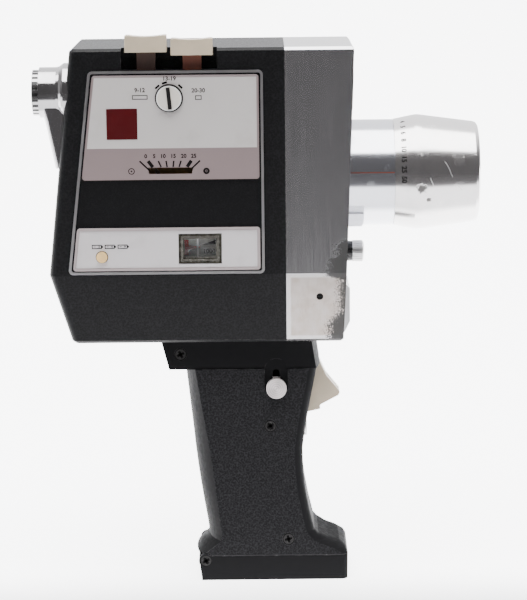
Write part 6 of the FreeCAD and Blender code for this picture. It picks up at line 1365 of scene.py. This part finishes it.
@dataclass
class ZoomLens:
    """Marks on the lens barrel and the focus ring, and the thread in its mouth."""

    axis_z: float = 168.7
    barrel_radius: float = 21.7
    index_z: float = 171.25
    index_rear: float = 33.4
    index_front: float = 51.2
    index_width: float = 0.42
    index_proud: float = 0.02
    index_root: float = 0.14
    ring_rear_x: float = 51.45
    ring_rear_radius: float = 21.8
    cone_slope: float = 0.2025
    scale_x: float = 54.1
    scale_height: float = 1.9
    distances: tuple[tuple[str, float], ...] = (("4", -72.0), ("5", -61.5), ("6", -51.5), ("8", -42.0),
                                                ("10", -31.5), ("15", -20.5), ("25", -9.5), ("50", 1.0))
    thread_radius: float = 18.5
    thread_start: float = 81.3
    thread_pitch: float = 0.55
    thread_count: int = 8
    crest_radius: float = 0.16
    name_ring_x: float = 79.4
    name_ring_radius: float = 13.9
    focal_height: float = 1.2

    def build(self, shop: Workshop) -> None:
        """Adds every mark and the thread."""
        self._index_line(shop)
        self._distance_scale(shop)
        self._thread(shop)
        self._front_numbers(shop)

    def _cone_radius(self, x: float) -> float:
        """Radius of the focus ring near its rear."""
        return self.ring_rear_radius + self.cone_slope * (x - self.ring_rear_x)

    def _index_line(self, shop: Workshop) -> None:
        """Orange-red line in the barrel's groove."""
        draft = Draft()
        low = self.index_z - self.index_width / 2
        draft.plate((self.index_rear, low), (self.index_front, low + self.index_width),
                    -self.barrel_radius - self.index_proud, -self.barrel_radius + self.index_root)
        shop.drawn("lens_index", draft, "print_orange")

    def _on_cone(self, turn: float, flat: Vector) -> Sequence[float]:
        """Place on the focus ring of a flat print that is centred at an angle below the near side."""
        x = self.scale_x + flat.y
        radius = self._cone_radius(x) + flat.z
        angle = math.radians(turn) + flat.x / self.ring_rear_radius
        return x, -radius * math.cos(angle), self.axis_z - radius * math.sin(angle)

    def _on_name_ring(self, turn: float, flat: Vector) -> Sequence[float]:
        """Place on the front ring of a flat print that is centred at an angle from the top."""
        radius = self.name_ring_radius + flat.y - self.focal_height / 2
        angle = math.radians(turn) - flat.x / self.name_ring_radius
        return (self.name_ring_x + flat.z, -radius * math.sin(angle), self.axis_z + radius * math.cos(angle))

    def _distance_scale(self, shop: Workshop) -> None:
        """Distances round the upper near side of the ring, read downwards."""
        draft = Draft()
        for text, turn in self.distances:
            draft.bent_numbers(text, self.scale_height, partial(self._on_cone, turn))
        shop.drawn("distance_numbers", draft, "print_black", "focus_ring")

    def _thread(self, shop: Workshop) -> None:
        """Crests of the filter thread inside the ring's mouth."""
        crests = shop.patterns.row_of_rings.grow("filter_thread", {
            "Count": self.thread_count, "First": (self.thread_start * MM, 0.0, self.axis_z * MM),
            "Step": (self.thread_pitch * MM, 0.0, 0.0), "Turn": (0.0, math.pi / 2, 0.0),
            "Radius": self.thread_radius * MM, "Thickness": self.crest_radius * MM,
            "Finish": shop.palette["lens_black"]})
        shop.piece("filter_thread", crests, "lens_black", "focus_ring", smooth=True)

    def _front_numbers(self, shop: Workshop) -> None:
        """Focal lengths in pale numbers on the ring that holds the front glass."""
        draft = Draft()
        for text, turn in (("9-30", 0.0), ("1.8", 180.0)):
            draft.bent_numbers(text, self.focal_height, partial(self._on_name_ring, turn))
        shop.drawn("focal_numbers", draft, "print_pale", "front_cell")


@dataclass
class Eyepiece:
    """Black bars painted as shade in the gaps of the eyepiece's knurl, and its rubber eye rim."""

    axis_y: float = -15.5
    axis_z: float = 204.4
    rear_x: float = -94.25
    knurl_width: float = 2.6
    knurl_radius: float = 9.15
    knurl_depth: float = 0.8
    teeth: int = 24
    rim_radius: float = 6.6
    rim_bore: float = 4.6
    rim_root: float = 0.5
    rim_step: float = 0.1
    rim_face: float = 0.35
    rim_bevel: Point = (0.6, 0.5)
    gap_inset: float = 0.12
    gap_share: float = 0.98
    gap_ends: float = 0.1
    gap_clear: float = 0.2

    def build(self, shop: Workshop) -> None:
        """Fills the knurl's gaps with painted shade and fits the rim."""
        # Painted shade: black bars sit in the polished knurl's grooves.
        gap = math.pi * self.knurl_radius / self.teeth
        gaps = shop.patterns.ring_of_bars.grow("eyepiece_gap_shade", {
            "Count": self.teeth,
            "Centre": ((self.rear_x + self.knurl_width / 2) * MM, self.axis_y * MM, self.axis_z * MM),
            "Radius": (self.knurl_radius - self.knurl_depth / 2 - self.gap_inset) * MM, "Start": 0.0,
            "Step": 2 * math.pi / self.teeth,
            "Size": ((self.knurl_width - self.gap_ends) * MM, gap * self.gap_share * MM,
                     (self.knurl_depth - self.gap_clear) * MM),
            "Finish": shop.palette["groove_shade_and_rubber"]})
        shop.piece("eyepiece_gap_shade", gaps, "groove_shade_and_rubber", "eyepiece")
        draft = Draft()
        root, step = self.rear_x + self.rim_root, self.rear_x - self.rim_step
        face = self.rear_x - self.rim_face
        draft.turned([(root, self.rim_radius), (step, self.rim_radius),
                      (face, self.rim_radius - self.rim_bevel[0]), (face, self.rim_bore + self.rim_bevel[1]),
                      (step, self.rim_bore), (root, self.rim_bore)], (self.axis_y, self.axis_z), 64)
        shop.drawn("eye_rim", draft, "groove_shade_and_rubber", "eyepiece", True)


@dataclass
class DoorHardware:
    """Rivets of the film door's hinge and the marks round its latch."""

    rivet_count: int = 7
    rivet_pitch: float = 10.0
    rivet_z: float = 145.0
    rivet_radius: float = 0.85
    rivet_height: float = 0.35
    leaf_face: float = 28.6
    body_rivet_x: float = 5.4
    door_rivet_x: float = -1.0
    latch: Point = (-68.0, 165.0)
    latch_radius: float = 7.0
    arc_gap: float = 2.2
    arc_line: float = 0.4
    dot_gap: float = 4.2
    dot_radius: float = 0.7
    dot_line: float = 0.45
    ink: Point = (27.98, 28.04)

    def build(self, shop: Workshop) -> None:
        """Adds a row of rivets to each leaf and the latch's marks."""
        for name, x, body in (("body_hinge_rivets", self.body_rivet_x, MAIN_BODY),
                              ("door_hinge_rivets", self.door_rivet_x, "film_door")):
            heads = shop.patterns.row_of_domes.grow(name, {
                "Count": self.rivet_count, "First": (x * MM, self.leaf_face * MM, self.rivet_z * MM),
                "Step": (0.0, 0.0, self.rivet_pitch * MM), "Radius": self.rivet_radius * MM,
                "Height": self.rivet_height * MM, "Finish": shop.palette["plain_steel"]})
            shop.piece(name, heads, "plain_steel", body, True)
        draft = Draft()
        (x, z), reach = self.latch, self.latch_radius + self.dot_gap
        draft.arc(self.latch, self.latch_radius + self.arc_gap, self.arc_line, *self.ink, 15.0, 60.0)
        for centre in ((x, z + reach), (x + reach, z)):
            draft.arc(centre, self.dot_radius, self.dot_line, *self.ink)
        shop.drawn("latch_marks", draft, "print_pale", "film_door")


@dataclass
class GripScrews:
    """Painted shade of the grip's screws: black crosses in their cross recesses and a dark ring in the gap
    round each head.
    """

    screws: tuple[Four, ...] = ((-36.6, 96.3, 17.7, 28.0), (0.0, 65.9, 18.3, 40.0), (7.1, 17.5, 18.3, 12.0))
    hinge_screw: Four = (-27.4, 8.4, 18.3, 33.0)
    head_radius: float = 2.4
    arm_reach: float = 1.55
    arm_width: float = 1.15
    arm_tip: float = 0.85
    gap_reach: float = 0.12
    gap_line: float = 0.3
    proud: float = 0.05
    root: float = 0.3

    def build(self, shop: Workshop) -> None:
        """Makes the painted-shade crosses and gaps of the fixed screws, and those of the hinge screws on
        both sides.
        """
        draft = Draft()
        for screw in self.screws + (self.hinge_screw,):
            self._cross(draft, screw, -1.0)
        self._cross(draft, self.hinge_screw, 1.0)
        shop.drawn("screw_cross_shade", draft, "painted_recess_shade")
        draft = Draft()
        for x, z, face, _ in self.screws + (self.hinge_screw,):
            draft.arc((x, z), self.head_radius + self.gap_reach, self.gap_line, -face - self.proud,
                      -face + self.root)
        shop.drawn("screw_gap_shade", draft, "painted_recess_shade")

    def _cross(self, draft: Draft, screw: Four, side: float) -> None:
        """Adds one turned cross of four tapered arms, painted shade in the screw's recess; side is -1 on the
        near side.
        """
        x, z, face, turn = screw
        near, far = sorted((side * (face + self.proud), side * (face - self.root)))
        for quarter in range(4):
            angle = math.radians(turn + 90 * quarter)
            tip = (x + self.arm_reach * math.cos(angle), z + self.arm_reach * math.sin(angle))
            draft.bar((x, z), tip, self.arm_width, near, far, self.arm_tip)


@dataclass
class FrontFittings:
    """Finder window's frame on the slanted front, and the bright sleeve of the remote socket."""

    jack_z: float = 61.3
    jack_rear: float = 13.2
    jack_front: float = 15.3
    jack_radius: float = 3.75
    jack_bore: float = 1.9
    sleeve_wall: float = 0.3
    sleeve_lip: float = 0.2
    window_y: float = -15.5
    window_z: float = 204.4
    window_half: float = 6.4
    frame_width: float = 1.0
    frame_depth: float = 0.35
    frame_bevel: float = 0.15
    frame_root: float = 0.3
    slope_foot: Point = (31.5, 131.4)
    slope_head: Point = (34.8, 222.6)

    def build(self, shop: Workshop) -> None:
        """Fits the frame round the finder's front window and the sleeve on the socket."""
        sections = []
        inner, outer = self.window_half, self.window_half + self.frame_width
        for side, rise in ((-1, -1), (1, -1), (1, 1), (-1, 1)):
            section = []
            for half, lift in ((outer, 0.0), (outer - self.frame_bevel, self.frame_depth),
                               (inner, self.frame_depth), (inner, -self.frame_root)):
                z = self.window_z + rise * half
                section.append((self._front_x(z) + lift, self.window_y + side * half, z))
            sections.append(section)
        draft = Draft()
        draft.loft(sections, True)
        shop.drawn("finder_frame", draft, "border_silver")
        draft = Draft()
        inside, lip = self.jack_radius - self.sleeve_wall, self.jack_front - self.sleeve_lip
        draft.turned([(self.jack_rear, self.jack_radius), (self.jack_rear, inside), (lip, inside),
                      (lip, self.jack_bore), (self.jack_front, self.jack_bore), (self.jack_front, inside),
                      (self.jack_front - self.sleeve_wall, self.jack_radius)], (0.0, self.jack_z), 48)
        shop.drawn("jack_sleeve", draft, "knob_polish", smooth=True)

    def _front_x(self, z: float) -> float:
        """X of the housing's front at a height above its crease."""
        share = (z - self.slope_foot[1]) / (self.slope_head[1] - self.slope_foot[1])
        return self.slope_foot[0] + share * (self.slope_head[0] - self.slope_foot[0])


@dataclass
class FilmChamber:
    """Pressure plate with its springs and bracket, behind the film door."""

    plate_x: float = 2.9
    plate_thickness: float = 0.6
    near: float = -3.6
    far: float = 12.0
    bottom: float = 152.0
    top: float = 185.0
    lip_rear: float = 1.4
    lip_front: float = 1.0
    lip_edge: float = 1.2
    lip_tip: float = 1.5
    lip_bend: float = 0.4
    bracket_x: float = -2.5
    bracket_thickness: float = 0.8
    bracket_inset: float = 4.0
    bracket_near: float = -5.5
    bracket_far_inset: float = 2.0
    spring_y: float = 4.2
    spring_inset: float = 9.0
    spring_turns: float = 6.0
    spring_radius: float = 2.2
    spring_wire: float = 0.22

    def build(self, shop: Workshop) -> None:
        """Makes the plate, its bracket and two springs between them."""
        draft = Draft()
        x0, x1 = self.plate_x, self.plate_x + self.plate_thickness
        rear, front = x0 - self.lip_rear, x0 - self.lip_front
        draft.prism([(rear, self.bottom - self.lip_edge), (front, self.bottom - self.lip_tip),
                     (x1, self.bottom), (x1, self.top), (front, self.top + self.lip_tip),
                     (rear, self.top + self.lip_edge), (x0, self.top - self.lip_bend),
                     (x0, self.bottom + self.lip_bend)], self.near, self.far)
        shop.drawn("pressure_plate", draft, "gate_polish")
        draft = Draft()
        x = self.bracket_x
        draft.plate((x - self.bracket_thickness, self.bottom + self.bracket_inset),
                    (x, self.top - self.bracket_inset), self.bracket_near, self.far - self.bracket_far_inset)
        shop.drawn("pressure_bracket", draft, "plain_steel")
        springs = shop.patterns.row_of_springs.grow("pressure_springs", {
            "Count": 2, "First": (x * MM, self.spring_y * MM, (self.bottom + self.spring_inset) * MM),
            "Step": (0.0, 0.0, (self.top - self.bottom - 2 * self.spring_inset) * MM),
            "Turn": (0.0, math.pi / 2, 0.0), "Turns": self.spring_turns, "Base": self.spring_radius * MM,
            "Tip": self.spring_radius * MM, "Length": (self.plate_x - x) * MM,
            "Wire": self.spring_wire * MM, "Finish": shop.palette["plain_steel"]})
        shop.piece("pressure_springs", springs, "plain_steel", smooth=True)


@dataclass
class BatteryContacts:
    """Flat wire spirals in the hinged foot, under the cells."""

    pad_top: float = 7.8
    cells_x: float = -9.0
    pitch: float = 14.1
    lift: float = 0.12
    turns: float = 3.0
    outer_radius: float = 3.4
    inner_radius: float = 1.4
    rise: float = 0.1
    wire: float = 0.15

    def build(self, shop: Workshop) -> None:
        """Makes one row of spirals on each side."""
        for name, side in (("near_contacts", -1), ("far_contacts", 1)):
            spirals = shop.patterns.row_of_springs.grow(name, {
                "Count": 2,
                "First": ((self.cells_x - self.pitch / 2) * MM, side * self.pitch / 2 * MM,
                          (self.pad_top + self.lift) * MM),
                "Step": (self.pitch * MM, 0.0, 0.0), "Turn": (0.0, 0.0, 0.0), "Turns": self.turns,
                "Base": self.outer_radius * MM, "Tip": self.inner_radius * MM, "Length": self.rise * MM,
                "Wire": self.wire * MM, "Finish": shop.palette["worn_brass"]})
            shop.piece(name, spirals, "worn_brass", "battery_door", True)


# Studio

@dataclass
class Studio:
    """Pale floor, soft light and the camera that sees the object as photographed."""

    camera_place: tuple[float, float, float] = (-2.32 * MM, -962.33 * MM, 294.83 * MM)
    pitch_down: float = 10.558
    roll: float = -0.6
    focal_length: float = 160.5
    floor_size: float = 12.0
    floor_colour: Colour = (0.9, 0.9, 0.92)
    dark_from: float = -0.355
    dark_to: float = -0.415
    dark_floor: Colour = (0.046, 0.0448, 0.046)
    glow_from: float = -0.07
    glow_full: float = 0.0
    floor_glow: float = 4.5
    room_colour: Colour = (0.15, 0.146, 0.15)
    back_colour: Colour = (2.4, 2.4, 2.45)
    side_colour: Colour = (0.55, 0.54, 0.55)
    overhead: float = 10.0
    overhead_reach: float = 0.5
    overhead_edge: Point = (0.752, 0.935)
    room_height: float = 0.75
    side_span: Point = (0.5, 0.8)

    def build(self) -> None:
        """Makes the floor, the lights, the surroundings and the camera."""
        self._floor()
        self._surroundings()
        self._lamp("key", (-0.5, -0.75, 1.5), (0.0, 0.0, 0.14), 0.9, 7.0)
        self._lamp("top", (0.1, 0.25, 1.5), (0.0, 0.0, 0.15), 1.4, 6.0)
        self._camera()

    def _floor(self) -> None:
        """Large pale floor that glows from the foot backwards and is dark towards the camera."""
        half = self.floor_size / 2
        mesh = bpy.data.meshes.new("floor")
        mesh.from_pydata([(-half, -half, 0), (half, -half, 0), (half, half, 0), (-half, half, 0)], [],
                         [(0, 1, 2, 3)])
        floor = bpy.data.objects.new("floor", mesh)
        bpy.context.scene.collection.objects.link(floor)
        finish = Finish("floor_pale", self.floor_colour, 0.7, specular=0.0)
        material, graph, shader = finish.start()
        _, y, _ = graph.axes()
        near = graph.ramp(y, self.dark_to, self.dark_from)
        graph.feed(shader.inputs["Base Color"], graph.mix(near, self.dark_floor, self.floor_colour))
        glow = graph.ramp(y, self.glow_from, self.glow_full)
        graph.feed(shader.inputs["Emission Color"], graph.mix(glow, (0.0, 0.0, 0.0), (1.0, 1.0, 1.0)))
        shader.inputs["Emission Strength"].default_value = self.floor_glow
        mesh.materials.append(material)

    def _surroundings(self) -> None:
        """Wide soft box overhead, pale behind, dim beside, and a dark room in front at eye height."""
        world = bpy.data.worlds.new("studio")
        bpy.context.scene.world = world
        world.use_nodes = True
        graph = Graph(world.node_tree)
        back = world.node_tree.nodes["Background"]
        direction = graph.node("ShaderNodeTexCoord").outputs["Generated"]
        x, y, z = graph.axes(direction)
        edge = graph.ramp(y, -0.3, 0.3, *self.overhead_edge)
        above = graph.ramp(graph.minus(z, edge), -0.012, 0.012)
        beside = graph.ramp(graph.sum("ABSOLUTE", x), self.overhead_reach, self.overhead_reach + 0.2)
        front = graph.ramp(y, -0.1, -0.45)
        low = graph.edge(z, self.room_height, -0.02)
        far_side = graph.ramp(graph.sum("ABSOLUTE", x), *self.side_span)
        backdrop = graph.mix(far_side, self.back_colour, self.side_colour)
        level = graph.mix(graph.times(front, low), backdrop, self.room_colour)
        lamp = graph.times(above, graph.minus(1.0, beside))
        graph.feed(back.inputs["Color"], graph.mix(lamp, level, (self.overhead,) * 3))
        back.inputs["Strength"].default_value = 1.0

    def _lamp(self, name: str, place: Sequence[float], target: Sequence[float], size: float,
              power: float) -> None:
        """Adds a square soft lamp that points at a place.

        Args:
            name: name of the lamp.
            place: where it stands, in metres.
            target: what it points at.
            size: length of its side.
            power: its power in watts.
        """
        light = bpy.data.lights.new(name, "AREA")
        light.size = size
        light.energy = power
        lamp = bpy.data.objects.new(name, light)
        lamp.location = place
        lamp.rotation_euler = (Vector(target) - Vector(place)).to_track_quat("-Z", "Y").to_euler()
        lamp.visible_glossy = False
        bpy.context.scene.collection.objects.link(lamp)

    def _camera(self) -> None:
        """Camera solved from the photograph's parallel edges."""
        data = bpy.data.cameras.new("camera")
        data.sensor_fit = "HORIZONTAL"
        data.lens = self.focal_length
        data.clip_start = 0.05
        data.clip_end = 50.0
        camera = bpy.data.objects.new("camera", data)
        tilt = Matrix.Rotation(math.radians(90.0 - self.pitch_down), 4, "X")
        roll = Matrix.Rotation(math.radians(self.roll), 4, "Z")
        camera.matrix_world = Matrix.Translation(self.camera_place) @ tilt @ roll
        bpy.context.scene.collection.objects.link(camera)
        bpy.context.scene.camera = camera


def dress_nodes(nodes: dict[str, bpy.types.Object], palette: Palette) -> None:
    """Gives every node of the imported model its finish."""
    for name, finish in NODE_FINISHES.items():
        target = nodes[name]
        target.data.materials.clear()
        target.data.materials.append(palette[finish])
        LOG.info("%s finished in %s", name, finish)


def main() -> None:
    """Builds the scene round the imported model."""
    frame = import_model()
    Studio().build()
    palette = Palette(SharedEffects())
    dress_nodes(frame["nodes"], palette)
    shop = Workshop(palette, Patterns())
    for part in (ControlPanel(), BatteryMeter(), ZoomLens(), Eyepiece(), DoorHardware(), GripScrews(),
                 FrontFittings(), FilmChamber(), BatteryContacts()):
        part.build(shop)


if __name__ == "__main__":
    logging.basicConfig(level=logging.INFO, format="%(name)s %(message)s")
    main()
